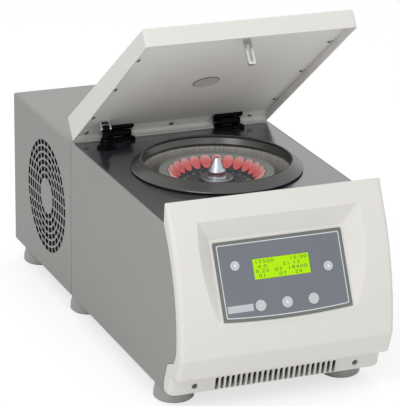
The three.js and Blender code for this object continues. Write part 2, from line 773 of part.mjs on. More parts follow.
function frontFascia() {
  const thick = [...fasciaFace(0), [overrun - frontLength + panel.depth, -cabinet.panelHeight]];
  const roundedOutline = [
    [overrun - frontLength + panel.depth, fascia.crownRise],
    [deckEdge - fascia.rearLean - fascia.crownRound, fascia.crownRise],
    ...thick,
  ];
  const rounded = extrudeAcross([roundedOutline], -halfWidth, halfWidth, fascia.cornerRadius);
  const skin = common(rounded, extrudeAcross([fasciaOutline()], -halfWidth, halfWidth));
  const backWall = deckEdge - fascia.rearWall;
  const cavityOutline = [
    ...fasciaFace(fascia.wall),
    [overrun - frontLength, -cabinet.panelHeight + fascia.wall],
    [overrun - frontLength, -overrun],
    [backWall, -overrun],
    [backWall - fascia.rearLean / 2, fascia.cavityRise],
  ];
  const inner = halfWidth - fascia.wall;
  const shell = cut(skin, extrudeAcross([cavityOutline], -inner, inner));
  const filled = extrudeAcross([[...fasciaFace(0), [0, -cabinet.panelHeight], [0, -overrun], [backWall, -overrun]]], -inner, inner);
  const tray = common(recessShape(panel.tray), filled);
  return cut(join(shell, tray), recessShape(0), ...fasciaHoles());
}

function fasciaHoles() {
  const tools = keyPlaces.map((k) => onPanel(post(k.radius + clearance, -panel.depth / 2, overrun, k.across, -k.drop, 20)));
  const halfDisplay = display.width / 2 - display.bezel;
  const top = -display.drop - display.bezel;
  const bottom = -display.drop - display.length + display.bezel;
  tools.push(onPanel(block(-halfDisplay, halfDisplay, bottom, top, -panel.depth / 2, overrun)));
  const front = -frontLength - fascia.skirtTopReach - overrun;
  const back = front + fascia.skirtReach + overrun;
  for (let i = 0; i < slots.count; i += 1) {
    const x = (i - (slots.count - 1) / 2) * slots.pitch;
    const low = slots.rise - cabinet.panelHeight - slots.height / 2;
    tools.push(block(x - slots.width / 2, x + slots.width / 2, front, back, low, low + slots.height));
  }
  return tools;
}

function controlOverlay() {
  const half = panel.width / 2;
  const steps = 12;
  const bowed = Array.from({ length: steps + 1 }, (_, i) => {
    const across = -half + (panel.width * i) / steps;
    return [across, -panel.length - panel.bow * (1 - (across / half) ** 2)];
  });
  const outline = [...bowed, [half, 0], [-half, 0]];
  const holes = keyPlaces.map((k) => circle(k.radius + clearance, k.across, -k.drop, 20));
  const halfDisplay = display.width / 2 + clearance;
  holes.push(rectangle(-halfDisplay, halfDisplay, -display.drop - display.length - clearance, clearance - display.drop));
  return onPanel(extrudeUp([outline], clearance, clearance + panel.overlay, holes));
}

function buildFascia() {
  place("front_fascia", frontFascia(), offWhite());
  place("control_overlay", controlOverlay(), paint(0x7e8389, 0.4, 0));
  const halfDisplay = display.width / 2;
  const lens = block(-halfDisplay, halfDisplay, -display.drop - display.length, -display.drop, clearance, clearance + panel.overlay);
  place("display_lens", onPanel(lens), paint(0xb8eb00, 0.2, 0));
  for (const k of keyPlaces) {
    const crown = clearance + panel.overlay + key.proud;
    const profile = [
      [0, -key.tail],
      [k.radius, -key.tail],
      [k.radius, crown - key.proud / 2],
      [k.radius - key.proud, crown],
      [0, crown],
    ];
    place(k.name, onPanel(turned(profile, 20).translate(k.across, -k.drop, 0)), paint(0xd4d6d8, 0.35, 0.2));
  }
  const back = -panel.tray - board.standoff;
  const plate = block(-board.width / 2, board.width / 2, -board.length - panel.topMargin, -panel.topMargin, back, back + board.thickness);
  const postX = board.width / 2 - board.postInset;
  const posts = [-postX, postX].flatMap((x) =>
    [-panel.topMargin - board.postInset, -panel.topMargin - board.length + board.postInset].map((y) =>
      post(board.postRadius, back + board.thickness / 2, -panel.tray - clearance, x, y, 12),
    ),
  );
  place("control_board", onPanel(join(plate, ...posts)), paint(0x2f6b3c, 0.6, 0));
}

// Lid pieces, drawn closed with the hinge axis as origin
const lidFrame = {
  half: halfWidth - lid.sideInset,
  rear: lid.rearOverhang,
  front: deckEdge + lid.frontGap + hinge.axisSetback,
  bottom: lid.gap - hinge.axisRise,
  plateFace: lid.gap + lid.recess - hinge.axisRise,
};

function lidShell() {
  const { rear, front, bottom } = lidFrame;
  const r = lid.edgeRadius;
  const side = [
    [front, bottom - r],
    [rear, bottom - r],
    [rear, bottom + lid.rearHeight - r],
    [rear - r / 3, bottom + lid.rearHeight - r / 3],
    [rear - r, bottom + lid.rearHeight],
    [front + r, bottom + lid.frontHeight],
    [front + r / 3, bottom + lid.frontHeight - r / 3],
    [front, bottom + lid.frontHeight - r],
  ];
  const { half } = lidFrame;
  const blank = extrudeAcross([side], -half, half, r);
  const below = block(-half - overrun, half + overrun, front - overrun, rear + overrun, bottom - 2 * r, bottom);
  const cavity = [
    [front + lid.wall, bottom - overrun],
    [rear - lid.wall, bottom - overrun],
    [rear - lid.wall, bottom + lid.rearHeight - lid.wall - r / 3],
    [front + lid.wall, bottom + lid.frontHeight - lid.wall - r / 3],
  ];
  return cut(blank, below, extrudeAcross([cavity], lid.wall - half, half - lid.wall));
}

// Flat inner plate with the posts that hold it to the shell
function lidInnerPlate() {
  const { rear, front, bottom, plateFace } = lidFrame;
  const half = lidFrame.half - lid.wall - clearance;
  const back = rear - lid.wall - clearance;
  const fore = front + lid.wall + clearance;
  const plate = block(-half, half, fore, back, plateFace, plateFace + lid.plate);
  const reach = (share) => bottom + lid.frontHeight + (lid.rearHeight - lid.frontHeight) * share - lid.wall - lid.edgeRadius / 3;
  const postShares = [0.12, 0.5, 0.88];
  const posts = postShares.flatMap((share) =>
    [-1, 1].map((side) => {
      const y = fore + (back - fore) * share;
      const top = reach((y - front) / (rear - front)) - clearance - lid.postRadius * (lid.rearHeight - lid.frontHeight) / (rear - front);
      return post(lid.postRadius, plateFace + lid.plate / 2, top, side * (half - 2 * lid.postRadius), y, 10);
    }),
  );
  return join(plate, ...posts);
}

function lidStriker() {
  const { front, plateFace } = lidFrame;
  const y = front + striker.behindFront;
  const top = plateFace - clearance;
  const half = striker.width / 2;
  const tip = top - striker.length;
  const outline = [
    [-half, top - striker.baseThickness / 2],
    [-half, tip + striker.tip],
    [striker.tip / 2 - half, tip],
    [half - striker.tip / 2, tip],
    [half, tip + striker.tip],
    [half, top - striker.baseThickness / 2],
  ];
  const halfWindow = striker.window / 2;
  const windowLow = tip + striker.tip;
  const window = rectangle(-halfWindow, halfWindow, windowLow, windowLow + striker.windowLength);
  const tongue = extrudeBack([outline], y - striker.thickness / 2, y + striker.thickness / 2, [window]);
  const halfBase = striker.base / 2;
  const base = block(-halfBase, halfBase, y - halfBase, y + halfBase, top - striker.baseThickness, top);
  return join(tongue, base);
}

// One leaf of a hinge in plan: wide at the screws, narrow at the pivot
function leafPlan(centre, length) {
  const inner = -hinge.barrelRadius;
  const outer = -length - hinge.barrelRadius / 2;
  const middle = inner + (outer - inner) * hinge.wideShare;
  return [
    [centre - hinge.waist / 2, 0],
    [centre - hinge.waist / 2, inner],
    [centre - hinge.width / 2, middle],
    [centre - hinge.width / 2, outer],
    [centre + hinge.width / 2, outer],
    [centre + hinge.width / 2, middle],
    [centre + hinge.waist / 2, inner],
    [centre + hinge.waist / 2, 0],
  ];
}

function buildHinge(name, centre) {
  const half = hinge.waist / 2;
  const middle = half * hinge.middleShare;
  const bore = hinge.pinRadius + hinge.boreGap;
  const left = centre - half;
  const right = centre + half;
  const round = hinge.barrelRadius + runningGap / 2;
  const hole = axle(bore, left - overrun, right + overrun, 0, 0, 16);
  const deckTop = clearance - hinge.axisRise;

  // The deck leaf carries the two outer knuckles
  const lowPlate = extrudeUp([leafPlan(centre, hinge.leafLength)], deckTop, deckTop + hinge.leafThickness);
  const outerKnuckles = [
    axle(hinge.barrelRadius, left, centre - middle - clearance, 0, 0),
    axle(hinge.barrelRadius, centre + middle + clearance, right, 0, 0),
  ];
  const gapForMiddle = block(centre - middle - clearance, centre + middle + clearance, -round, round, -round, round);
  const base = cut(join(lowPlate, ...outerKnuckles), gapForMiddle, hole);
  const baseMesh = place("hinge_base_" + name, base, blackPlastic());
  baseMesh.position.set(0, -hinge.axisSetback, hinge.axisRise);

  // The lid leaf carries the middle knuckle
  const plateFace = lidFrame.plateFace - clearance;
  const highPlate = extrudeUp([leafPlan(centre, hinge.lidLeafLength)], plateFace - hinge.leafThickness, plateFace);
  const gaps = [
    block(left - overrun, centre - middle, -round, round, -round, round),
    block(centre + middle, right + overrun, -round, round, -round, round),
  ];
  const web = block(centre - middle, centre + middle, -hinge.barrelRadius, 0, 0, plateFace);
  const knuckle = axle(hinge.barrelRadius, centre - middle, centre + middle, 0, 0);
  const leaf = cut(join(cut(highPlate, ...gaps), knuckle, web), hole);
  place("hinge_leaf_" + name, leaf, blackPlastic(), lidGroup);

  const pin = axle(hinge.pinRadius, left, right, 0, 0, 12);
  const pinMesh = place("hinge_pin_" + name, pin, steel());
  pinMesh.position.copy(baseMesh.position);
}

function buildLid() {
  place("lid_shell", lidShell(), offWhite(), lidGroup);
  place("lid_inner_plate", lidInnerPlate(), greyPlate(), lidGroup);
  place("lid_striker", lidStriker(), steel(), lidGroup);
  const badgeTop = lidFrame.plateFace - clearance;
  const badgeY = chamberY + hinge.axisSetback + badge.behindCentre;
  const disc = post(badge.radius, badgeTop - badge.thickness, badgeTop, 0, badgeY, 32);
  place("lid_badge", disc, greyPlate(), lidGroup);
  place("strut_fork", strutFork(), steel(), lidGroup);
  buildHinge("left", hinge.sideInset - halfWidth);
  buildHinge("right", halfWidth - hinge.sideInset);
}

// Fork that holds the top of the strut, drawn with the lid closed
function strutFork() {
  const top = lidFrame.plateFace - clearance;
  const inner = strut.eyeWidth / 2 + strut.forkGap;
  const outer = inner + strut.cheek;
  const pivotY = strut.behindAxis;
  const pivotZ = strut.aboveAxis;
  const cheek = (left) => {
    const rounded = axle(strut.cheekRadius, left, left + strut.cheek, pivotY, pivotZ, 14);
    const arm = block(left, left + strut.cheek, pivotY - strut.cheekRadius, pivotY + strut.cheekRadius, pivotZ, top);
    return join(rounded, arm);
  };
  const base = block(strutX - outer, strutX + outer, pivotY - strut.endRadius, pivotY + strut.endRadius, top - strut.cheek, top);
  const pin = axle(strut.pinRadius, strutX - outer + clearance, strutX + outer - clearance, pivotY, pivotZ, 10);
  return join(base, cheek(strutX - outer), cheek(strutX + inner), pin);
}

// Gas strut, drawn upright from its lower pivot and turned to the open lid
function buildStrut() {
  const footY = -strut.footSetback;
  const footZ = strut.footRise - cabinet.panelHeight;
  const reach = Math.hypot(strutPivot.open.y - footY, strutPivot.open.z - footZ);
  const lean = Math.atan2(strutPivot.open.y - footY, strutPivot.open.z - footZ);
  const group = new THREE.Group();
  group.position.set(strutX, footY, footZ);
  group.rotation.x = -lean;
  root.add(group);

  const tubeTop = -footZ - strut.tubeTopDrop;
  const halfEye = strut.eyeWidth / 2;
  const footHole = axle(strut.footPinRadius + clearance, -strut.tubeRadius - overrun, strut.tubeRadius + overrun, 0, 0, 16);
  const footEye = axle(strut.footEyeRadius, -halfEye, halfEye, 0, 0, 16);
  const tube = post(strut.tubeRadius, 2 * strut.tubeRadius, tubeTop, 0, 0, 20);
  const neck = block(-halfEye, halfEye, -halfEye, halfEye, 0, 2 * strut.tubeRadius + overrun);
  const bore = post(strut.rodRadius + clearance, 3 * strut.tubeRadius, tubeTop + overrun, 0, 0, 16);
  place("strut_tube", cut(join(tube, neck, footEye), footHole, bore), blackPlastic(), group);

  const stroke = strutPivot.open.z - strutPivot.closed.z;
  const rodBottom = 3 * strut.tubeRadius + stroke + overrun;
  const rod = post(strut.rodRadius, rodBottom, reach - strut.endLength / 2, 0, 0, 16);
  const fitting = post(strut.endRadius, reach - strut.endLength - strut.eyeRadius, reach - strut.rodRadius, 0, 0, 16);
  const eye = axle(strut.eyeRadius, -halfEye, halfEye, 0, reach, 16);
  const halfNeck = strut.rodRadius - clearance;
  const neckTop = block(-halfEye / 2, halfEye / 2, -halfNeck, halfNeck, reach - 2 * strut.eyeRadius, reach);
  const pinHole = axle(strut.pinRadius + strut.pinGap, -strut.tubeRadius, strut.tubeRadius, 0, reach, 16);
  place("strut_rod", cut(join(rod, fitting, neckTop, eye), pinHole), blackPlastic(), group);

  const bracketInner = innerHalf - clearance;
  const bracketX = strutX - halfEye - runningGap - strut.bracketThickness;
  const halfBracket = strut.bracketHeight / 2;
  const arm = block(-bracketInner, bracketX + strut.bracketThickness, footY - halfBracket, footY + halfBracket, footZ - halfBracket, footZ - halfBracket + strut.bracketThickness);
  const back = block(-bracketInner, strut.bracketThickness - bracketInner, footY - halfBracket, footY + halfBracket, footZ - halfBracket, footZ + halfBracket);
  const cheek = block(bracketX, bracketX + strut.bracketThickness, footY - halfBracket / 2, footY + halfBracket / 2, footZ - halfBracket, footZ + halfBracket / 2);
  const pin = axle(strut.footPinRadius, bracketX + strut.bracketThickness / 2, strutX + halfEye + runningGap, footY, footZ, 14);
  place("strut_foot", join(arm, back, cheek, pin), steel());

  const bootProfile = [
    [strut.bootInnerRadius, clearance],
    [strut.bootRadius, clearance],
    [strut.bootRadius - clearance, strut.bootHeight / 3],
    [strut.bootTopRadius, strut.bootHeight],
    [strut.bootInnerRadius, strut.bootHeight],
  ];
  place("strut_boot", turned(bootProfile, 24).translate(strutX, strutHoleY, 0), blackRubber());
}

// Lid lock under the deck: a housing with a slot for the striker and a sliding catch
function buildLock() {
  const y = strikerY;
  const top = -shelfDrop;
  const bottom = top - lock.height;
  const halfSlot = lock.slotWidth / 2;
  const halfLength = lock.slotLength / 2;
  const back = y + halfLength + lock.wall;
  const body = block(-lock.width / 2, lock.width / 2, y - halfLength - lock.wall, back, bottom, top);
  const well = block(-halfSlot, halfSlot, y - halfLength, y + halfLength, bottom - overrun, top + overrun);
  const halfCatch = lock.catchWidth / 2;
  const windowLow = lid.gap + lid.recess - clearance - striker.length + striker.tip;
  const catchTop = windowLow + 2 * lock.catchHeight;
  const gap = runningGap / 2;
  const channel = block(-halfCatch - gap, halfCatch + gap, y, back + overrun, catchTop - lock.catchHeight - gap, catchTop + gap);
  place("lock_housing", cut(body, well, channel), blackPlastic());
  const tip = y + halfLength + runningGap;
  const bolt = block(-halfCatch, halfCatch, tip, tip + lock.catchLength, catchTop - lock.catchHeight, catchTop);
  const grip = block(-2 * halfCatch, 2 * halfCatch, back + lock.travel + runningGap, tip + lock.catchLength, catchTop - 2 * lock.catchHeight, catchTop + gap);
  place("lock_catch", join(bolt, grip), steel());
}

function buildCooling() {
  const fanX = -halfWidth + cabinet.sheet + fan.gap;
  const y = grille.behindSeam;
  const z = grilleZ;
  const hub = axle(fan.hubRadius, fanX, fanX + fan.depth, y, z, 24);
  const spindleHole = axle(fanMotor.spindle + clearance, fanX + fan.depth / 2, fanX + fan.depth + overrun, y, z, 14);
  const blades = Array.from({ length: fan.blades }, (_, i) => {
    const root0 = fan.hubRadius * fan.rootShare * 2;
    const outline = [
      [-fan.hubRadius * fan.rootShare, root0],
      [fan.hubRadius * fan.rootShare, root0],
      [fan.hubRadius, fan.radius - fan.hubRadius / 3],
      [fan.hubRadius / 2, fan.radius],
      [-fan.hubRadius, fan.radius - fan.hubRadius / 3],
    ];
    const blade = extrudeUp([outline], -fan.bladeThickness / 2, fan.bladeThickness / 2);
    blade.rotateY(fan.pitch).rotateY(Math.PI / 2);
    blade.rotateX((2 * Math.PI * i) / fan.blades);
    return blade.translate(fanX + fan.depth / 2, y, z);
  });
  place("fan_rotor", cut(join(hub, ...blades), spindleHole), blackPlastic());

  const motorX = fanX + fan.depth + runningGap;
  const body = axle(fanMotor.radius, motorX, motorX + fanMotor.length, y, z, 20);
  const spindle = axle(fanMotor.spindle, fanX + fan.depth / 2 + clearance, motorX + clearance, y, z, 12);
  place("fan_motor", join(body, spindle), steel());
  const bracketX = motorX + fanMotor.length + clearance;
  const halfBracket = fanMotor.bracketWidth / 2;
  const upright = block(bracketX, bracketX + fanMotor.bracket, y - halfBracket, y + halfBracket, floorTop + clearance, z + halfBracket);
  const soleX = bracketX + fanMotor.bracket;
  const sole = block(soleX - fanMotor.footLength, soleX, y - halfBracket, y + halfBracket, floorTop + clearance, floorTop + clearance + fanMotor.bracket);
  place("fan_bracket", join(upright, sole), steel());
  place("condenser", condenserBlock(), steel());
  place("compressor", compressorBody(), blackPlastic());
  buildPipes();
}

// Finned heat exchanger that stands on the base behind the fan
function condenserBlock() {
  const left = condenser.insetFromLeft - halfWidth;
  const y0 = grille.behindSeam - condenser.width / 2;
  const pitch = condenser.width / (condenser.fins - 1 + condenser.coreShare);
  const outline = [[left + condenser.finDepth, y0]];
  for (let i = 0; i < condenser.fins; i += 1) {
    const low = y0 + i * pitch;
    outline.push([left, low], [left, low + pitch * condenser.coreShare]);
    if (i < condenser.fins - 1) outline.push([left + condenser.finDepth, low + pitch * condenser.coreShare], [left + condenser.finDepth, low + pitch]);
  }
  const end = y0 + condenser.width;
  outline.push([left + condenser.thickness, end], [left + condenser.thickness, y0]);
  outline.shift();
  const bottom = floorTop + clearance;
  return extrudeUp([outline], bottom, -condenser.topDrop);
}

function compressorBody() {
  const bottom = floorTop + clearance;
  const top = bottom + compressor.height;
  const foot0 = compressor.footThickness;
  const profile = [
    [0, bottom],
    [compressor.footRadius, bottom],
    [compressor.footRadius, bottom + foot0],
    [compressor.radius - foot0, bottom + foot0],
    [compressor.radius, bottom + 2 * foot0],
    [compressor.radius, (bottom + top) / 2 - foot0],
    [compressor.seamRadius, (bottom + top) / 2],
    [compressor.radius, (bottom + top) / 2 + foot0],
    [compressor.radius, top - compressor.neckRadius],
    [compressor.radius - compressor.neckRadius / 3, top - compressor.neckRadius / 3],
    [compressor.neckRadius, top],
    [0, top],
  ];
  return turned(profile, 28).translate(compressorX, compressor.behindSeam, 0);
}

function tubeAlong(points) {
  const curve = new THREE.CatmullRomCurve3(points.map(([x, y, z]) => new THREE.Vector3(x, y, z)), false, "centripetal");
  const section = shapeOf(circle(pipe.radius, 0, 0, pipe.sides));
  return new THREE.ExtrudeGeometry(section, { extrudePath: curve, steps: pipe.steps, bevelEnabled: false });
}

// Refrigerant pipes: compressor to condenser, and compressor to the coil round the bowl
function buildPipes() {
  const top = floorTop + clearance + compressor.height + clearance;
  const rise = compressor.neckRadius;
  const x = compressorX;
  const y = compressor.behindSeam;
  const condenserX = condenser.insetFromLeft - halfWidth + condenser.thickness / 2;
  const condenserTop = clearance - condenser.topDrop;
  const discharge = [
    [x - rise / 2, y, top],
    [x - rise / 2, y, top + rise / 2],
    [x - rise, y, condenserTop + rise],
    [condenserX + rise, y, condenserTop + rise],
    [condenserX, y, condenserTop + rise / 2],
    [condenserX, y, condenserTop],
  ];
  place("discharge_pipe", tubeAlong(discharge), copper());
  const jacket = chamberY + Math.sqrt((insulationRadius + pipe.radius) ** 2 - pipeCrossing.x ** 2);
  const below = insulationBottom + 2 * pipe.radius;
  const suction = [
    [x + rise / 2, y - rise / 2, top],
    [x + rise / 2, y - rise / 2, top + rise / 2],
    [x, y - compressor.seamRadius, top + rise / 2],
    [pipeCrossing.x, rise, pipeCrossing.z],
    [pipeCrossing.x, 0, pipeCrossing.z],
    [pipeCrossing.x, -2 * cabinet.partitionSetback, pipeCrossing.z],
    [pipeCrossing.x, (jacket - cabinet.partitionSetback) / 2, (below + pipeCrossing.z) / 2],
    [pipeCrossing.x, jacket + clearance, below],
  ];
  place("suction_pipe", tubeAlong(suction), copper());
}

// Mains inlet and rocker switch on the back
function buildElectrics() {
  const back = cabinet.rearLength;
  const halfInlet = inlet.width / 2;
  const halfHeight = inlet.height / 2;
  const flangeBack = back - cabinet.sheet - clearance;
  const flange = block(inletX - halfInlet, inletX + halfInlet, flangeBack - inlet.flange, flangeBack, inletZ - halfHeight, inletZ + halfHeight);
  const inset = inlet.flange + clearance;
  const body = block(inletX - halfInlet + inset, inletX + halfInlet - inset, back - inlet.depth, back, inletZ - halfHeight + inset, inletZ + halfHeight - inset);
  const socket = block(inletX - inlet.socketWidth / 2, inletX + inlet.socketWidth / 2, back - inlet.socketDepth, back + overrun, inletZ - inlet.socketHeight / 2, inletZ + inlet.socketHeight / 2);
  const pins = [-1, 0, 1].map((side) => {
    const x = inletX + (side * inlet.socketWidth) / 3.5;
    const z = inletZ + (side === 0 ? inlet.pinHeight / 2 : -inlet.pinHeight / 2);
    const start = back - inlet.socketDepth - inlet.pinWidth / 2;
    return block(x - inlet.pinWidth / 2, x + inlet.pinWidth / 2, start, start + inlet.pinLength, z - inlet.pinHeight / 2, z + inlet.pinHeight / 2);
  });
  place("power_inlet", join(cut(join(flange, body), socket), ...pins), blackPlastic());

  // Rocker: a shallow V in side view, off at rest
  const half = rocker.height / 2;
  const outline = [
    [back - rocker.depth, -half / 2],
    [back - cabinet.sheet, -half],
    [back + rocker.proud / 2, -half],
    [back, 0],
    [back + rocker.proud / 2, half],
    [back - cabinet.sheet, half],
    [back - rocker.depth, half / 2],
  ];
  const rockerMesh = place(
    "switch_rocker",
    extrudeAcross([outline.map(([y, z]) => [y - back + rocker.depth / 2, z])], -rocker.width / 2, rocker.width / 2),
    blackPlastic(),
  );
  rockerMesh.position.set(rockerX, back - rocker.depth / 2 - rocker.proud, inletZ);
  rockerMesh.rotation.x = rocker.tilt;
}

buildCabinet();
buildDeck();
place("bowl_seal", sealRing(), blackRubber());
place("rotor_bowl", bowlShell(), steel());
place("bowl_insulation", insulationJacket(), foam());
buildDrive();
place("rotor_head", rotorHead(), paint(0x5f5f60, 0.4, 0.6));
place("rotor_nut", rotorNut(), steel());
buildFeet();
buildFascia();
buildLid();
buildStrut();
buildLock();
buildCooling();
buildElectrics();

const rearmost = cabinet.rearLength;
const foremost = frontLength + fascia.bulge;
root.position.set(0, (foremost - rearmost) / 2, cabinet.panelHeight + foot.height);

export default root;
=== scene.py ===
import bpy
import bmesh
import math
from mathutils import Matrix, Vector


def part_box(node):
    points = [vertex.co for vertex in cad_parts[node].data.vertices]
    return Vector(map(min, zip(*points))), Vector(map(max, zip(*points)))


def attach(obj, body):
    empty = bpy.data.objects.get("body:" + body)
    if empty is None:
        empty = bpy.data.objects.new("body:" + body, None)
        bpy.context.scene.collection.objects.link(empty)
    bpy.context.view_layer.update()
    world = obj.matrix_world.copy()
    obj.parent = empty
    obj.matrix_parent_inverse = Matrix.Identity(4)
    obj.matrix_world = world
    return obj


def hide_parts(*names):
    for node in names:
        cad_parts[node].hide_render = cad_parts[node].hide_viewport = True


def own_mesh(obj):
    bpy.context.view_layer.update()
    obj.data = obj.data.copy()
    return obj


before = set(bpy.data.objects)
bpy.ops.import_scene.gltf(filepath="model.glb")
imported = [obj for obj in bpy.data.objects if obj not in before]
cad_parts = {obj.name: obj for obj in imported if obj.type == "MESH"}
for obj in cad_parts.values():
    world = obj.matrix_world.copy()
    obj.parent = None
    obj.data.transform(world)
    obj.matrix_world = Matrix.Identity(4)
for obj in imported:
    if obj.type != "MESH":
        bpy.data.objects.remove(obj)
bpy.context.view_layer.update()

# Pieces are drawn in millimetres. Their zero is the top of the deck at the seam between the two
# cabinet sections, and a frame matrix turns each one and puts it in place in metres.
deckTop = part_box("top_deck")[1][2]
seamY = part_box("rear_top_panel")[0][1] - 0.0007
toMetres = Matrix.Scale(0.001, 4)
rowFrame = toMetres
deckFrame = Matrix.Translation((0, seamY, deckTop)) @ toMetres


def tilted(base, place, degrees):
    return base @ Matrix.Translation(place) @ Matrix.Rotation(math.radians(degrees), 4, "X")


hingeLine = {"y": -4.2, "z": 7.5, "open": 36.4}
lidFrame = tilted(deckFrame, (0, hingeLine["y"], hingeLine["z"]), -hingeLine["open"])
panelLean = 26.2
panelTop = (0, -347.8, -26.4)
panelFrame = tilted(deckFrame, panelTop, 90 - panelLean)
chamberY = -158.4
chamberFrame = deckFrame @ Matrix.Translation((0, chamberY, 0))
chamberCentre = (0, seamY + chamberY / 1000)
print("frames ready")


def linked(name, data):
    made = bpy.data.objects.new(name, data)
    bpy.context.scene.collection.objects.link(made)
    return made


# Camera and light

view = {
    "place": (-1141.0, -2905.2, 988.3),
    "yaw": 22.161,
    "pitch": 19.207,
    "roll": 0.722,
    "lens": 220.27,
}


def addCamera():
    yaw, pitch, roll = (math.radians(view[key]) for key in ("yaw", "pitch", "roll"))
    ahead = Vector((math.sin(yaw) * math.cos(pitch), math.cos(yaw) * math.cos(pitch), -math.sin(pitch)))
    right = Vector((math.cos(yaw), -math.sin(yaw), 0))
    up = right.cross(ahead)
    side = right * math.cos(roll) + up * math.sin(roll)
    top = up * math.cos(roll) - right * math.sin(roll)
    data = bpy.data.cameras.new("camera")
    data.lens = view["lens"]
    data.sensor_width = 36
    data.clip_start = 0.1
    data.clip_end = 60
    camera = linked("camera", data)
    camera.matrix_world = Matrix((side, top, -ahead)).transposed().to_4x4()
    camera.matrix_world.translation = deckFrame @ Vector(view["place"])
    bpy.context.scene.camera = camera


lamps = {
    "key": {"place": (-1450, -1500, 1500), "size": 1.3, "power": 14.5, "aim": (0, -150, 0)},
    "front": {"place": (-300, -2700, 300), "size": 2.0, "power": 9, "aim": (0, -150, 60)},
    "top": {"place": (0, 300, 2000), "size": 1.6, "power": 8, "aim": (0, 0, 0)},
}


def addLamps():
    for name, lamp in lamps.items():
        data = bpy.data.lights.new(name, "AREA")
        data.shape = "DISK"
        data.size = lamp["size"]
        data.energy = lamp["power"]
        place = deckFrame @ Vector(lamp["place"])
        away = place - deckFrame @ Vector(lamp["aim"])
        turn = away.to_track_quat("Z", "Y").to_matrix().to_4x4()
        linked(name, data).matrix_world = Matrix.Translation(place) @ turn


# Shader expressions: a wire is a socket that takes part in sums

class Wire:
    def __init__(self, graph, socket):
        self.graph = graph
        self.socket = socket

    def sum(self, operation, *others):
        return self.graph.node("ShaderNodeMath", {"operation": operation}, dict(enumerate((self,) + others)))

    def __add__(self, other): return self.sum("ADD", other)
    def __radd__(self, other): return self.sum("ADD", other)
    def __sub__(self, other): return self.sum("SUBTRACT", other)
    def __rsub__(self, other): return (self * -1).sum("ADD", other)
    def __mul__(self, other): return self.sum("MULTIPLY", other)
    def __rmul__(self, other): return self.sum("MULTIPLY", other)
    def __gt__(self, other): return self.sum("GREATER_THAN", other)
    def __lt__(self, other): return self.sum("LESS_THAN", other)
    def __abs__(self): return self.sum("ABSOLUTE")
    def __pow__(self, other): return self.sum("POWER", other)


# A colour as it is read off a screen, 0 to 255
def tint(red, green, blue):
    def linear(value):
        share = value / 255
        return share / 12.92 if share <= 0.04045 else ((share + 0.055) / 1.055) ** 2.4
    return (linear(red), linear(green), linear(blue), 1)


def darkened(color, share):
    return tuple(channel * share for channel in color[:3]) + (1,)


# A node tree, of a material or of the surroundings
class Graph:
    def __init__(self, tree):
        self.tree = tree

    def node(self, kind, settings=None, inputs=None, output=0):
        made = self.tree.nodes.new(kind)
        for key, value in (settings or {}).items():
            setattr(made, key, value)
        for key, value in (inputs or {}).items():
            self.feed(made.inputs[key], value)
        return Wire(self, made.outputs[output])

    def feed(self, socket, value):
        if isinstance(value, Wire):
            self.tree.links.new(value.socket, socket)
        else:
            socket.default_value = value


class Finish(Graph):
    def __init__(self, name, **constants):
        self.material = bpy.data.materials.new(name)
        self.material.use_nodes = True
        super().__init__(self.material.node_tree)
        self.shader = self.tree.nodes["Principled BSDF"]
        for key, value in constants.items():
            self.shader.inputs[socketNames[key]].default_value = value

    def shade(self, **sockets):
        for key, value in sockets.items():
            self.feed(self.shader.inputs[socketNames[key]], value)

    def place(self):
        return self.node("ShaderNodeTexCoord", output="Object")

    def axes(self, vector=None):
        split = self.node("ShaderNodeSeparateXYZ", None, {0: vector or self.place()})
        return [Wire(self, socket) for socket in split.socket.node.outputs]

    def fromAxis(self):
        x, y, z = self.axes()
        return ((x - chamberCentre[0]) ** 2 + (y - chamberCentre[1]) ** 2) ** 0.5, z

    def rings(self, radius, z, pitch):
        return self.node("ShaderNodeCombineXYZ", None, {0: radius * (1 / pitch), 1: z * (1 / pitch), 2: 0})

    def noise(self, scale, detail=2, vector=None, roughness=0.5):
        inputs = {"Vector": vector or self.place(), "Scale": scale, "Detail": detail, "Roughness": roughness}
        return self.node("ShaderNodeTexNoise", None, inputs, "Fac")

    def mix(self, factor, first, second):
        return self.node("ShaderNodeMix", {"data_type": "RGBA"}, {0: factor, 6: first, 7: second}, 2)

    def bump(self, height, distance):
        inputs = {"Height": height, "Distance": distance, "Strength": 1}
        return self.node("ShaderNodeBump", None, inputs, "Normal")

    def stretched(self, x, y, z):
        return self.node("ShaderNodeMapping", None, {"Vector": self.place(), "Scale": (x, y, z)})


socketNames = {
    "color": "Base Color", "roughness": "Roughness", "metallic": "Metallic", "normal": "Normal",
    "coat": "Coat Weight", "coatRoughness": "Coat Roughness", "specular": "Specular IOR Level",
    "emission": "Emission Color", "emissionStrength": "Emission Strength", "subsurface": "Subsurface Weight",
    "subsurfaceScale": "Subsurface Scale", "subsurfaceRadius": "Subsurface Radius",
}


# One surface recipe for paint, moulded plastic and rubber: mottled colour, grain and a wavy gloss
def grained(name, color, roughness, grain, depth, mottle=0.04, sway=0.06, **constants):
    finish = Finish(name, **constants)
    cloud = finish.noise(9, 3)
    fine = finish.noise(grain, 2)
    finish.shade(
        color=finish.mix(cloud, darkened(color, 1 - 2 * mottle), color),
        roughness=(finish.noise(35, 2) - 0.5) * sway * 2 + roughness,
        normal=finish.bump(fine, depth),
    )
    return finish.material


# Brushed metal: fine lines along an axis in the colour, gloss and relief
def brushed(name, color, roughness, lines, depth, **constants):
    finish = Finish(name, metallic=1, **constants)
    streak = finish.noise(1, 3, finish.stretched(*lines), 0.6)
    finish.shade(
        color=finish.mix(streak, darkened(color, 0.82), color),
        roughness=(streak - 0.5) * 0.16 + roughness,
        normal=finish.bump(streak, depth),
    )
    return finish.material


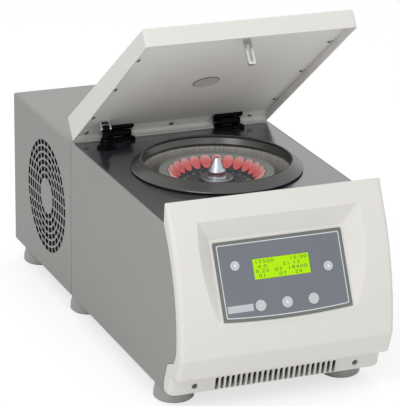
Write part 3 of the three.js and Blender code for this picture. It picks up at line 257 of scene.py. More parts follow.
# Turned metal: fine rings round the chamber's axis
def turnedMetal(name, color, roughness, pitch, depth):
    finish = Finish(name, metallic=1)
    radius, z = finish.fromAxis()
    groove = finish.noise(1, 2, finish.rings(radius, z, pitch), 0.6)
    finish.shade(
        color=finish.mix(groove, darkened(color, 0.8), color),
        roughness=(groove - 0.5) * 0.2 + roughness,
        normal=finish.bump(groove, depth),
    )
    return finish.material


# Drawn steel of the bowl: streaks down the wall, by the angle round the chamber
def drawnSteel(name, color, roughness, streaks, depth, metallic):
    finish = Finish(name, metallic=metallic)
    x, y, z = finish.axes()
    turn = (y - chamberCentre[1]).sum("ARCTAN2", x - chamberCentre[0])
    lines = finish.node("ShaderNodeCombineXYZ", None, {0: turn * streaks, 1: z * 14, 2: 0})
    streak = finish.noise(1, 3, lines, 0.6)
    finish.shade(
        color=finish.mix((streak - 0.3) * 2.4, darkened(color, 0.64), color),
        roughness=(streak - 0.5) * 0.2 + roughness,
        normal=finish.bump(streak, depth),
    )
    return finish.material


# Anodised rotor with painted shade: a darker colour painted toward the dish under the caps, where shade falls, and
# paler on the rim, with fine turning lines
def rotorMetal(name, inner, outer, roughness, pitch, depth):
    finish = Finish(name, metallic=0.15)
    radius, z = finish.fromAxis()
    groove = finish.noise(1, 2, finish.rings(radius, z, pitch), 0.6)
    # the colour darkens toward the axis: painted shade in the dish, blending outward to the rim's colour
    color = finish.mix((radius - 0.058) * 250, inner, outer)
    finish.shade(
        color=finish.mix(groove * 0.3, color, (0.02, 0.02, 0.02, 1)),
        roughness=(groove - 0.5) * 0.2 + roughness,
        normal=finish.bump(groove, depth),
    )
    return finish.material


grille = {"y": 0.1008, "z": -0.1058, "radius": 0.088, "skin": 0.00025}  # from the seam and the deck's top


# Paint of the panel with the fan grille, with painted shade: the punched edges and the inside of the grille disc are
# painted near black, standing in for the shade behind the slots
def grilleShadePaint(color, edge):
    finish = Finish("grilleShadePaint")
    x, y, z = finish.axes()
    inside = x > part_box("rear_left_panel")[0][0] + grille["skin"]
    disc = ((y - (seamY + grille["y"])) ** 2 + (z - (deckTop + grille["z"])) ** 2) ** 0.5 < grille["radius"]
    cloud = finish.noise(9, 3)
    fine = finish.noise(1500, 2)
    # inside the grille disc the colour is mixed to the painted shade
    finish.shade(color=finish.mix(inside * disc, finish.mix(cloud, darkened(color, 0.96), color), edge),
                 roughness=fine * 0.04 + 0.4, normal=finish.bump(fine, 0.00003))
    return finish.material


# the second colour is the painted shade behind the grille's slots
grilleGrey = grilleShadePaint(tint(152, 152, 149), tint(20, 20, 20))
sidePaint = grained("sidePaint", tint(152, 152, 149), 0.42, 1500, 0.00003, 0.02, 0.04)
deckCoat = grained("deckCoat", tint(52, 52, 61), 0.2, 2400, 0.000006, 0.02, 0.02,
                   specular=1.0, coat=0.7, coatRoughness=0.12)
whitePlastic = grained("whitePlastic", tint(231, 229, 224), 0.42, 1700, 0.00002, 0.01, 0.05)
plateGrey = grained("plateGrey", tint(240, 240, 234), 0.55, 1900, 0.00001, 0.015, 0.05, specular=0.25)
blackPlastic = grained("blackPlastic", tint(6, 6, 6), 0.6, 1500, 0.00002, 0.05, 0.04, specular=0.12)
softRubber = grained("softRubber", tint(44, 44, 42), 0.62, 1300, 0.00004, 0.06, 0.08)
footRubber = grained("footRubber", tint(170, 170, 167), 0.42, 1300, 0.00004, 0.05, 0.08)
bootRubber = grained("bootRubber", tint(3, 3, 4), 0.3, 1300, 0.00001, 0.05, 0.04, specular=0.08)
ringRubber = grained("ringRubber", tint(66, 66, 64), 0.24, 1100, 0.00001, 0.015, 0.02, specular=0.85)
foamGrey = grained("foamGrey", tint(62, 62, 64), 0.9, 700, 0.0003, 0.1, 0.05)
boardGreen = grained("boardGreen", tint(40, 96, 56), 0.5, 900, 0.00002, 0.08, 0.06)
castBlack = grained("castBlack", tint(14, 14, 15), 0.55, 500, 0.00006, 0.06, 0.05, specular=0.3)
keySilver = grained("keySilver", tint(200, 203, 206), 0.3, 1800, 0.000008, 0.02, 0.05, metallic=0.3)
markWhite = grained("markWhite", tint(244, 246, 246), 0.4, 1500, 0.000004, 0.01, 0.04)
rotorMark = grained("rotorMark", tint(250, 250, 240), 0.4, 1500, 0.000004, 0.02, 0.04)
brightSteel = brushed("brightSteel", tint(222, 223, 224), 0.24, (500, 60, 500), 0.000006)
screwSteel = brushed("screwSteel", tint(196, 197, 196), 0.22, (300, 300, 300), 0.000006)
# the screw steel darkened as painted shade, for the screws sunk in the skirt's recesses
recessShadeSteel = brushed("recessShadeSteel", tint(118, 118, 116), 0.34, (300, 300, 300), 0.000006)
dullSteel = brushed("dullSteel", tint(150, 151, 152), 0.4, (60, 700, 700), 0.00001)
finAluminium = grained("finAluminium", tint(34, 35, 36), 0.55, 900, 0.00002, 0.05, 0.05)
copperTube = brushed("copperTube", tint(188, 110, 72), 0.3, (120, 900, 900), 0.00001)
bowlSteel = drawnSteel("bowlSteel", tint(214, 210, 203), 0.36, 38, 0.00002, 0.15)
# the first colour is the painted shade of the dish, the second the rim's own colour
rotorShadedAnodised = rotorMetal("rotorShadedAnodised", tint(84, 106, 110), tint(176, 181, 178), 0.4, 1 / 1600, 0.000008)
nutSteel = turnedMetal("nutSteel", tint(196, 202, 208), 0.3, 0.0008, 0.000003)
print("finishes ready")


# Modelling helpers

# Gives a finished shape its place, smooth faces, finish and body, and the nodes it stands in for
def collected(name, shape, base, finish, body, stands=(), sharp=35, outward=True, even=True):
    if outward:
        bmesh.ops.recalc_face_normals(shape, faces=shape.faces)
    bmesh.ops.transform(shape, matrix=base, verts=shape.verts)
    mesh = bpy.data.meshes.new(name)
    shape.to_mesh(mesh)
    shape.free()
    mesh.shade_smooth()
    mesh.set_sharp_from_angle(angle=math.radians(sharp))
    mesh.materials.append(finish)
    piece = linked(name, mesh)
    if even:
        piece.modifiers.new("evenNormals", "WEIGHTED_NORMAL").keep_sharp = True
    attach(piece, body)
    if stands:
        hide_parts(*stands)
    return piece


# Points (a, b, radius) of an outline, with each corner rounded
def softened(points, closed=True, steps=4):
    outline = []
    count = len(points)
    for place, (a, b, radius) in enumerate(points):
        if radius == 0 or (not closed and place in (0, count - 1)):
            outline.append((a, b))
            continue
        here = Vector((a, b))
        before = Vector(points[place - 1][:2]) - here
        after = Vector(points[(place + 1) % count][:2]) - here
        half = before.angle(after) / 2
        if math.pi / 2 - half < 0.01:
            outline.append((a, b))
            continue
        reach = min(radius / math.tan(half), before.length * 0.48, after.length * 0.48)
        start = here + before.normalized() * reach
        end = here + after.normalized() * reach
        for step in range(steps + 1):
            share = step / steps
            first = start.lerp(here, share)
            outline.append(tuple(first.lerp(here.lerp(end, share), share)))
    return outline


# A profile of (radius, height) turned round the frame's z
def spun(profile, steps=96, closed=False):
    shape = bmesh.new()
    rim = [shape.verts.new((radius, 0, height)) for radius, height in profile]
    lines = [shape.edges.new(pair) for pair in zip(rim, rim[1:])]
    if closed:
        lines.append(shape.edges.new((rim[-1], rim[0])))
    bmesh.ops.spin(shape, geom=rim + lines, axis=(0, 0, 1), cent=(0, 0, 0), angle=math.tau, steps=steps,
                   use_merge=True)
    bmesh.ops.remove_doubles(shape, verts=shape.verts, dist=0.001)
    return shape


def bevelled(shape, width, segments=3, sharp=30):
    limit = math.radians(sharp)
    edges = [edge for edge in shape.edges if len(edge.link_faces) == 2 and edge.calc_face_angle() > limit]
    bmesh.ops.bevel(shape, geom=edges, offset=width, offset_type="OFFSET", affect="EDGES",
                    segments=segments, profile=0.5, material=-1, clamp_overlap=True)
    return shape


def moved(shape, *way):
    bmesh.ops.translate(shape, vec=way, verts=shape.verts)
    return shape


def block(low, high, bevel=0.4, segments=2):
    shape = bmesh.new()
    bmesh.ops.create_cube(shape, size=1)
    size = [b - a for a, b in zip(low, high)]
    middle = [(a + b) / 2 for a, b in zip(low, high)]
    bmesh.ops.scale(shape, vec=size, verts=shape.verts)
    moved(shape, *middle)
    return bevelled(shape, bevel, segments) if bevel else shape


# A flat outline in the frame's x and y, given height along z
def plate(outline, low, high, bevel=0.3, segments=2):
    shape = bmesh.new()
    base = shape.faces.new([shape.verts.new((a, b, low)) for a, b in outline])
    side = bmesh.ops.extrude_face_region(shape, geom=[base])
    top = [item for item in side["geom"] if isinstance(item, bmesh.types.BMVert)]
    bmesh.ops.translate(shape, vec=(0, 0, high - low), verts=top)
    bmesh.ops.recalc_face_normals(shape, faces=shape.faces)
    return bevelled(shape, bevel, segments) if bevel else shape


def rod(radius, low, high, bevel=0.4, sides=32, place=(0, 0)):
    profile = softened([(0, low, 0), (radius, low, bevel), (radius, high, bevel), (0, high, 0)], False, 2)
    return moved(spun(profile, sides), *place, 0)


def turnedOver(shape, degrees, axis, place=(0, 0, 0)):
    matrix = Matrix.Translation(place) @ Matrix.Rotation(math.radians(degrees), 4, axis)
    bmesh.ops.transform(shape, matrix=matrix, verts=shape.verts)
    return shape


def together(*shapes):
    whole = shapes[0]
    for shape in shapes[1:]:
        spare = bpy.data.meshes.new("spare")
        shape.to_mesh(spare)
        shape.free()
        whole.from_mesh(spare)
        bpy.data.meshes.remove(spare)
    return whole


# An outline in y and z, given length along x
def beam(outline, left, right, bevel=0.2):
    shape = plate(outline, left, right, bevel)
    lying = Matrix(((0, 0, 1, 0), (1, 0, 0, 0), (0, 1, 0, 0), (0, 0, 0, 1)))
    bmesh.ops.transform(shape, matrix=lying, verts=shape.verts)
    return shape


# Figures as a flat mesh about the origin, in the given width and height
def figures(text, wide, tall, lines=1.0, spacing=1.0):
    data = bpy.data.curves.new("figures", "FONT")
    data.body = text
    data.space_line = lines
    data.space_character = spacing
    holder = linked("figures", data)
    bpy.context.view_layer.update()
    shape = bmesh.new()
    spare = bpy.data.meshes.new_from_object(holder.evaluated_get(bpy.context.evaluated_depsgraph_get()))
    shape.from_mesh(spare)
    bpy.data.objects.remove(holder)
    bpy.data.meshes.remove(spare)
    bpy.data.curves.remove(data)
    low = Vector([min(vert.co[axis] for vert in shape.verts) for axis in range(3)])
    high = Vector([max(vert.co[axis] for vert in shape.verts) for axis in range(3)])
    across = (wide or tall * (high.x - low.x) / (high.y - low.y)) / (high.x - low.x)
    moved(shape, *-(low + high) / 2)
    bmesh.ops.scale(shape, vec=(across, tall / (high.y - low.y), 1), verts=shape.verts)
    return shape


# Cuts one shape out of another and hands the result back
def carved(shape, cutter):
    holders = []
    for name, form in (("carvedBody", shape), ("carvedTool", cutter)):
        bmesh.ops.recalc_face_normals(form, faces=form.faces)
        mesh = bpy.data.meshes.new(name)
        form.to_mesh(mesh)
        form.free()
        holders.append(linked(name, mesh))
    modifier = holders[0].modifiers.new("carve", "BOOLEAN")
    modifier.operation = "DIFFERENCE"
    modifier.solver = "EXACT"
    modifier.object = holders[1]
    bpy.context.view_layer.update()
    ready = holders[0].evaluated_get(bpy.context.evaluated_depsgraph_get())
    result = bmesh.new()
    result.from_mesh(ready.to_mesh())
    ready.to_mesh_clear()
    for holder in holders:
        mesh = holder.data
        bpy.data.objects.remove(holder)
        bpy.data.meshes.remove(mesh)
    return result


# The same shape with its corners and faces in a fixed order, because the solver's order varies from run to run
def ordered(shape):
    corners = sorted(shape.verts, key=lambda vert: tuple(vert.co))
    number = {vert: place for place, vert in enumerate(corners)}
    again = bmesh.new()
    made = [again.verts.new(vert.co) for vert in corners]
    rings = []
    for face in shape.faces:
        ring = [number[vert] for vert in face.verts]
        first = ring.index(min(ring))
        rings.append(ring[first:] + ring[:first])
    for ring in sorted(rings):
        again.faces.new([made[place] for place in ring])
    shape.free()
    return again


# The CAD node's own form with its doubles merged and its edges softened
def softCopy(node, width, segments=2, sharp=30):
    shape = bmesh.new()
    shape.from_mesh(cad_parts[node].data)
    bmesh.ops.scale(shape, vec=(1000, 1000, 1000), verts=shape.verts)
    bmesh.ops.remove_doubles(shape, verts=shape.verts, dist=0.002)
    bmesh.ops.dissolve_limit(shape, angle_limit=math.radians(1), verts=shape.verts, edges=shape.edges)
    return bevelled(shape, width, segments, sharp)


# A domed head with a cross cut into it
def screw(radius, height):
    dome = [(0, height, 0), (radius * 0.55, height, 0.6), (radius, height * 0.35, 0.4), (radius, 0, 0)]
    head = spun(softened(dome, False, 3), 24)
    bmesh.ops.holes_fill(head, edges=head.edges, sides=0)
    for turn in (0, 90):
        cut = block((-radius * 0.6, -0.28, height * 0.45), (radius * 0.6, 0.28, height * 2), 0)
        head = ordered(carved(head, turnedOver(cut, turn, "Z")))
    return head


# Cabinet

fascia = {
    "halfWidth": 140, "corner": 6, "wall": 3, "faceRadius": 334.75, "faceY": -58.25, "foldZ": -155,
    "lip": (-382.5, -183), "skirtTop": (-360, -186.5), "skirtFoot": (-354, -212), "foot": -213.3, "footRound": 4,
    "crown": 27.4, "rearFoot": -335.2, "rearLean": 2.3, "rearGap": 0.8, "cavityTop": -6,
    "crownRows": ((27.4, -338.2, 1.4), (27.3, -338.7, 0.7), (26.9, -339.2, 0.3), (24, -341.2, 0), (23.5, -341.46, 0)),
    "meetRadius": 240.19, "meetCentre": (-138.31, -138), "meetEnd": -147,
    "recessTop": 4, "recessFoot": -115, "recessHalf": (105, 107, 89.5),
    "floorHalf": 87, "floorTop": 4, "floorFoot": -98.8, "bow": 3.6, "mitre": 2.2,
}
heel = [(-378.3, -147), (-371.8, -163), (-350, -172), (-338.5, -197.5), (-338.5, -220)]


def faceDepth(z):
    if z >= fascia["foldZ"]:
        return fascia["faceY"] - math.sqrt(fascia["faceRadius"] ** 2 - (z - fascia["foldZ"]) ** 2)
    fold = (fascia["faceY"] - fascia["faceRadius"], fascia["foldZ"])
    corners = [fold, fascia["lip"], fascia["skirtTop"], fascia["skirtFoot"]]
    for (y0, z0), (y1, z1) in zip(corners, corners[1:]):
        if z >= z1:
            return y0 + (y1 - y0) * (z0 - z) / (z0 - z1)
    return corners[-1][0]


# Where the fascia meets the cabinet
def rearDepth(z):
    if z > 0:
        return fascia["rearFoot"] - fascia["rearLean"] * z / fascia["crown"]
    if z > fascia["meetEnd"]:
        y, height = fascia["meetCentre"]
        return y - math.sqrt(fascia["meetRadius"] ** 2 - (z - height) ** 2) - fascia["rearGap"]
    for (y0, z0), (y1, z1) in zip(heel, heel[1:]):
        if z >= z1:
            return y0 + (y1 - y0) * (z0 - z) / (z0 - z1) - fascia["rearGap"]


def recessHalf(z):
    top, middle, foot = fascia["recessHalf"]
    zs = (fascia["recessTop"], -42, fascia["recessFoot"])
    total = 0
    for place, value in enumerate((top, middle, foot)):
        share = 1
        for other in range(3):
            if other != place:
                share *= (z - zs[other]) / (zs[place] - zs[other])
        total += value * share
    return total


def onPanelPlane(x, rise, lift=0):
    lean = math.radians(panelLean)
    return Vector((x, panelTop[1] + rise * math.sin(lean) - lift * math.cos(lean),
                   panelTop[2] + rise * math.cos(lean) + lift * math.sin(lean)))


# Places from start to end, at the given shares of the way
def between(shares, start, end):
    return [start + (end - start) * share for share in shares]


outerShares = [0, 0.3, 0.6, 0.85, 0.96, 0.988]
bevelShares = [0, 0.03, 0.12, 0.35, 0.65, 0.88, 0.97]
floorShares = [0, 0.012, 0.034, 0.1, 0.2, 0.3, 0.4]
floorStations = floorShares + [0.5] + [1 - share for share in reversed(floorShares)]


# One level of the fascia's front: the points from the left corner to the right corner
def frontRow(kind, share, insetX, insetY):
    edge = fascia["halfWidth"] - fascia["corner"] - insetX
    half, top, mitre = fascia["floorHalf"], fascia["recessTop"], fascia["mitre"]

    def floorX(station):
        return half * (2 * station - 1)

    def footOf(x):
        return fascia["floorFoot"] - fascia["bow"] * max(0, 1 - (x / panelSize["half"]) ** 2)

    if kind == "above":
        z = share
        limit = recessHalf(top)
        inner = limit - mitre
        points = {"outer": (limit, z), "z": z}
        middle = [Vector((inner / half * floorX(s), faceDepth(z) + insetY, z)) for s in floorStations]
    elif kind == "topBevel":
        z = top - mitre * share
        limit = recessHalf(z)
        start = [Vector(((recessHalf(top) - mitre) / half * floorX(s), faceDepth(top), top)) for s in floorStations]
        end = [onPanelPlane(floorX(s), fascia["floorTop"]) for s in floorStations]
        middle = [a.lerp(b, share) for a, b in zip(start, end)]
    elif kind == "floor":
        z = (top - mitre) + (fascia["recessFoot"] - top + mitre) * share
        limit = recessHalf(z)
        middle = []
        for s in floorStations:
            x = floorX(s)
            rise = fascia["floorTop"] + (footOf(x) - fascia["floorTop"]) * share
            middle.append(onPanelPlane(x, rise))
    else:
        z = share
        foot, below = recessHalf(fascia["recessFoot"]), fascia["recessFoot"] - z
        limit = foot + (edge * 0.92 - foot) * min(1, below / 60)
        blend = max(0, 1 - below / 16)
        low = limit * half / foot
        middle = []
        for s in floorStations:
            x = low / half * floorX(s)
            rim = onPanelPlane(floorX(s), footOf(floorX(s)))
            sunk = min(0, rim.y - faceDepth(rim.z)) * blend ** 2
            middle.append(Vector((x, faceDepth(z) + sunk, z + (rim.z - fascia["recessFoot"]) * blend)))
    row = []
    for side in (-1, 1):
        limitPoint = Vector((side * limit, faceDepth(z) + insetY, z))
        outer = [Vector((side * x, faceDepth(z) + insetY, z)) for x in between(outerShares, edge, limit)]
        innerPoint = middle[0] if side < 0 else middle[-1]
        bevel = [limitPoint.lerp(innerPoint, s) for s in bevelShares]
        strip = outer + bevel
        row = strip + middle if side < 0 else row + strip[::-1]
    return row


# The front, round the right corner, back along the side wall, and the inner faces on the way home
def ringRow(kind, share, z, insetX=0, insetY=0):
    front = frontRow(kind, share, insetX, insetY)
    rear = rearDepth(z)
    half = fascia["halfWidth"] - insetX
    edge = half - fascia["corner"]
    faceY = front[0].y
    corner = min(fascia["corner"], (rear - faceY) * 0.55)
    thick = fascia["wall"] if z < fascia["crownRows"][-1][0] else 0.3
    solid = z >= fascia["cavityTop"] or z <= fascia["foot"] + fascia["wall"]

    def innerY(point):
        return max(point.y + thick, rearDepth(point.z)) if solid else point.y + thick

    side = []
    for step in range(1, 7):
        angle = math.pi / 2 * step / 6
        side.append(Vector((edge + (half - edge) * math.sin(angle), faceY + corner * (1 - math.cos(angle)), z)))
    side += [Vector((half, y, z)) for y in between((0.3, 0.7, 1), faceY + corner, rear)]
    side += [Vector((half - fascia["wall"], rear, z)), Vector((half - fascia["wall"], innerY(front[0]), z))]
    inner = [Vector((point.x, innerY(point), point.z)) for point in reversed(front)]
    mirrored = [Vector((-point.x, point.y, point.z)) for point in reversed(side)]
    return front + side + inner + mirrored


def fasciaShape():
    rows = []
    for z, y, insetX in fascia["crownRows"]:
        rows.append(ringRow("above", z, z, insetX, y - faceDepth(z)))
    for z in (18, 12, 7, 4.9, 4.3):
        rows.append(ringRow("above", z, z))
    for share in bevelShares:
        rows.append(ringRow("topBevel", share, fascia["recessTop"] - fascia["mitre"] * share))
    top = fascia["recessTop"] - fascia["mitre"]
    for share in (0, 0.008, 0.035, 0.062, 0.1, 0.2, 0.3, 0.4, 0.5, 0.6, 0.7, 0.8, 0.9, 0.95, 0.975, 0.992, 1):
        rows.append(ringRow("floor", share, top + (fascia["recessFoot"] - top) * share))
    levels = [-117, -120, -125, -132, -140, -148, -152.5, -155, -157.5, -164, -172, -178, -181.5, -182.8, -183.3,
              -184.5, -186, -186.5, -187.2, -189, -195, -201, -206, -208.5, -209.3,
              fascia["foot"] + fascia["wall"] + 0.02, -210.5, -211.8, -212.8, fascia["foot"]]
    bend = fascia["foot"] + fascia["footRound"]
    for z in levels:
        low = max(0, (bend - z) / fascia["footRound"])
        rows.append(ringRow("below", z, z, fascia["footRound"] * (1 - math.sqrt(max(0, 1 - low ** 2)))))
    columns = len(rows[0])
    shape = bmesh.new()
    bmesh.ops.create_grid(shape, x_segments=columns, y_segments=len(rows) - 1, size=1)
    order = sorted(shape.verts, key=lambda vert: (round(-vert.co.y, 5), vert.co.x))
    for number, row in enumerate(rows):
        for place in range(columns + 1):
            order[number * (columns + 1) + place].co = row[place % columns]
    bmesh.ops.remove_doubles(shape, verts=shape.verts, dist=0.01)
    bmesh.ops.holes_fill(shape, edges=shape.edges, sides=0)
    return shape


skirt = {
    "slots": 23, "pitch": 7.05, "width": 4.5, "low": -212.9, "high": -195.6,
    "screwX": 106.5, "screwZ": -204, "recessRadius": 4, "recessFloor": -353.6,
}


# Slots and screw recesses of the skirt, and the openings under the keys and the display
def fasciaTools():
    tools = []
    radius = skirt["width"] / 2
    for number in range(skirt["slots"]):
        x = (number - (skirt["slots"] - 1) / 2) * skirt["pitch"]
        outline = []
        for middle, start in ((skirt["high"] - radius, 0), (skirt["low"] + radius, math.pi)):
            for step in range(9):
                angle = start + math.pi * step / 8
                outline.append((x + radius * math.cos(angle), middle + radius * math.sin(angle)))
        tools.append(turnedOver(plate(outline, 345, 380, 0), 90, "X"))
    for side in (-1, 1):
        place = (side * skirt["screwX"], skirt["screwZ"])
        hole = rod(skirt["recessRadius"], -skirt["recessFloor"], 380, 0, 32, place)
        tools.append(turnedOver(hole, 90, "X"))
    openings = [rod(key["radius"] + 0.3, -9, 4, 0, 32, (key["x"], key["y"])) for key in keys.values()]
    opening = together(*openings, displayBlock(-display["margin"], -9, 4))
    bmesh.ops.transform(opening, matrix=tilted(Matrix(), panelTop, 90 - panelLean), verts=opening.verts)
    return together(opening, *tools)


def addFascia():
    shape = carved(fasciaShape(), fasciaTools())
    collected("frontFascia", shape, deckFrame, whitePlastic, "cabinet", ["front_fascia"], 38)
    for side, name in ((-1, "Left"), (1, "Right")):
        head = turnedOver(screw(3.3, 1.5), 90, "X", (side * skirt["screwX"], skirt["recessFloor"], skirt["screwZ"]))
        collected("skirtScrew" + name, head, deckFrame, recessShadeSteel, "cabinet")


# Control panel

panelSize = {"half": 84, "length": 95.8, "bow": 3.6, "lift": 0.3, "thick": 1}
panelPrint = {"line": (4.1, 5.2), "label": (-77, -44, 77.5, 86)}  # line from the edge, label across and down
display = {"half": 36.5, "top": -25.2, "foot": -49.7, "margin": 1.5}
keys = {
    "key_decrease": {"x": -59.8, "y": -30.2, "radius": 6.1, "mark": "down"},
    "key_increase": {"x": 59.8, "y": -44.5, "radius": 6.1, "mark": "up"},
    "key_left": {"x": -34.5, "y": -81, "radius": 7.0, "mark": "bars"},
    "key_middle": {"x": 0, "y": -81, "radius": 7.0, "mark": "up"},
    "key_right": {"x": 34.5, "y": -81, "radius": 7.0, "mark": "ring"},
}


# Printed membrane: a darker rim, a pale line and the grey field, in the panel's own plane
def overlayPrint():
    finish = Finish("overlayPrint", coat=0.25, coatRoughness=0.25)
    x, y, z = finish.axes()
    lean = math.radians(panelLean)
    rise = deckFrame @ Vector(panelTop)
    across = x * 1000
    down = ((y - rise.y) * math.sin(lean) + (z - rise.z) * math.cos(lean)) * -1000
    bowed = (1 - (across * (1 / panelSize["half"])) ** 2) * panelSize["bow"]
    side = abs(across) * -1 + panelSize["half"]
    foot = bowed - down + panelSize["length"]
    edge = side.sum("SMOOTH_MIN", down, 3).sum("SMOOTH_MIN", foot, 3)
    outer, inner = panelPrint["line"]
    line = (edge > outer) * (edge < inner)
    rim = edge < outer
    field = finish.mix(finish.noise(14, 3), tint(108, 112, 121), tint(116, 120, 129))
    left, right, high, low = panelPrint["label"]
    label = (across > left) * (across < right) * (down > high) * (down < low)
    withLabel = finish.mix(label, field, tint(196, 200, 206))
    color = finish.mix(line, finish.mix(rim, withLabel, tint(108, 111, 107)), tint(222, 227, 230))
    fine = finish.noise(2600, 2)
    finish.shade(color=color, roughness=fine * 0.1 + 0.34, normal=finish.bump(fine, 0.000006))
    return finish.material


def displayGlow():
    finish = Finish("displayGlow", emissionStrength=0.22, specular=0.2)
    x, y, z = finish.axes()
    cells = (x * 1000 * 2.2).sum("FRACT") > 0.12
    cloud = finish.noise(40, 2)
    color = finish.mix(cloud, tint(158, 212, 0), tint(178, 230, 0))
    shaded = finish.mix(cells * 0.35 + 0.65, tint(140, 190, 0), color)
    finish.shade(color=shaded, emission=shaded, roughness=cloud * 0.05 + 0.25)
    return finish.material


# Soft coloured plastic of the tubes, with painted light: a painted highlight paler toward the raised end of each cap,
# and painted shade deeper below it
def capPlasticWithPaintedLight():
    finish = Finish("capPlasticWithPaintedLight", subsurface=0.25, subsurfaceScale=0.003, subsurfaceRadius=(1.0, 0.35, 0.3))
    radius, z = finish.fromAxis()
    cloud = finish.noise(260, 2)
    outward = (radius - 0.0535) * 150
    height = (z - deckTop + 0.0235) * 120
    body = finish.mix(cloud, tint(255, 116, 118), tint(255, 138, 140))
    # the paler colour toward the raised outer end is a painted highlight
    pale = finish.mix(outward, body, tint(255, 196, 194))
    # the deeper colour low down is painted shade between the caps
    finish.shade(color=finish.mix(height, tint(246, 84, 88), pale), roughness=cloud * 0.1 + 0.3,
                 normal=finish.bump(cloud, 0.00004))
    return finish.material


def darkInk():
    finish = Finish("darkInk")
    cloud = finish.noise(300, 1)
    ink = finish.mix(cloud, tint(70, 104, 10), tint(86, 120, 14))
    finish.shade(color=ink, roughness=cloud * 0.1 + 0.5)
    return finish.material


# A block with the display's outline, wider all round by the gap
def displayBlock(gap, low, high, bevel=0):
    half, foot, top = display["half"] + gap, display["foot"] - gap, display["top"] + gap
    return block((-half, foot, low), (half, top, high), bevel)


def overlayShape():
    half, length, bow = panelSize["half"], panelSize["length"], panelSize["bow"]
    foot = [(x, -length - bow * (1 - (x / half) ** 2)) for x in between([n / 24 for n in range(25)], -half, half)]
    outline = softened([(half, 0, 2), (-half, 0, 2)] + [(x, y, 0) for x, y in foot])
    sheet = plate(outline, panelSize["lift"], panelSize["lift"] + panelSize["thick"], 0.25)
    tools = [rod(key["radius"] + 0.35, -4, 6, 0, 48, (key["x"], key["y"])) for key in keys.values()]
    return carved(sheet, together(*tools, displayBlock(0.3, -4, 6)))


def keyMark(key, top):
    size = key["radius"] * 0.4
    if key["mark"] in ("up", "down"):
        way = 1 if key["mark"] == "up" else -1
        outline = [(-size, -size * 0.55 * way), (size, -size * 0.55 * way), (0, size * 0.8 * way)]
        shapes = [plate(outline, top, top + 0.12, 0)]
    elif key["mark"] == "bars":
        shapes = [plate([(x, -size), (x + size * 0.5, -size), (x + size * 0.5, size), (x, size)], top, top + 0.12, 0)
                  for x in (-size * 0.85, size * 0.35)]
    else:
        shapes = [spun([(size * 0.62, top), (size, top), (size, top + 0.12), (size * 0.62, top + 0.12)], 32, True)]
    return moved(together(*shapes), key["x"], key["y"], 0)


def displayDigits():
    text = "13500      15:00\n 4.0      21.12\n0.25  03  18400\n 01     07   24"
    shape = figures(text, 2 * display["half"] - 5, display["top"] - display["foot"] - 3.4, 1, 1.16)
    return moved(shape, 0, (display["top"] + display["foot"]) / 2, 1.14)


def addPanel():
    sheet = overlayShape()
    collected("controlOverlay", sheet, panelFrame, overlayPrint(), "cabinet", ["control_overlay"])
    lens = displayBlock(0, 0.3, 1.1, 0.2)
    collected("displayLens", lens, panelFrame, displayGlow(), "cabinet", ["display_lens"])
    collected("displayDigits", displayDigits(), panelFrame, darkInk(), "cabinet", outward=False)
    for name, key in keys.items():
        radius = key["radius"]
        profile = [(0, -3.4, 0), (radius, -3.4, 0.3), (radius, 2.2, 0.7), (radius * 0.8, 2.15, 0.3), (0, 1.7, 0)]
        cap = moved(spun(softened(profile, False), 64), key["x"], key["y"], 0)
        title = "".join(word.capitalize() if place else word for place, word in enumerate(name.split("_")))
        collected(title, cap, panelFrame, keySilver, name + "_body", [name])
        collected(title + "Mark", keyMark(key, 1.72), panelFrame, markWhite, name + "_body")


# Rotor chamber

def addChamber():
    ring = softened([
        (95.8, -1.9, 0), (97.6, -1.9, 0), (97.6, 0.3, 0.2), (101, 0.3, 0.4), (104, 1.2, 2), (108.6, 1.4, 0.5),
        (109.2, 2.4, 0.8), (108.4, 3.6, 1.2), (97.6, 12.6, 2.4), (95.6, 12.9, 0.9), (94.2, 12.1, 0.6),
        (94.6, 11.3, 0.4), (99, 10.8, 0.3), (99, 9.2, 0.3), (96.8, 8.8, 0.6), (93.6, 0.9, 0.6), (95.8, 0.2, 0.3)])
    collected("bowlSeal", spun(ring, 160, True), chamberFrame, ringRubber, "cabinet", ["bowl_seal"], 60)
    bowl = softened([
        (24, -76.5, 0), (84.5, -76.5, 5), (92.4, -69, 5), (93.5, -3.8, 0.4), (104, -3.8, 0), (104, -2.3, 0.3),
        (92, -2.3, 1.2), (91, -69, 6), (85, -75, 6), (24, -75, 0)])
    collected("rotorBowl", spun(bowl, 144, True), chamberFrame, bowlSteel, "cabinet", ["rotor_bowl"], 50)


rotor = {
    "places": 24, "phase": 7.5, "seat": (55.5, -11), "tilt": 45, "boreRadius": 5.6,
    "capLong": 19.6, "capWide": 14, "capLow": 0.5, "capHigh": 2.7, "ringRadius": 4.3,
    "numberPlace": (41.5, 0, -18.95), "numberHeight": 4.4,
}


# Moves a shape from the frame's zero to one of the places in the ring
def atPlace(shape, number):
    return turnedOver(shape, 360 / rotor["places"] * number + rotor["phase"], "Z")


def leanedBack(shape):
    return turnedOver(shape, -rotor["tilt"], "Y", (rotor["seat"][0], 0, rotor["seat"][1]))


def rotorShape():
    profile = softened([
        (6.4, -60, 0), (24, -60, 0.5), (24, -52, 0.3), (78, -52, 2), (82, -48, 2), (82, -41, 2), (73.6, -4, 1.5),
        (72.2, -2.5, 0.8), (64.6, -2.5, 0.8), (63.5, -3, 0.5), (47.5, -19, 0.8), (24, -20.5, 0.5), (21.5, -15, 0.5),
        (6.4, -15, 0)])
    bores = [atPlace(leanedBack(rod(rotor["boreRadius"], -7, 30, 0, 20)), place) for place in range(rotor["places"])]
    return carved(spun(profile, 192, True), together(*bores))


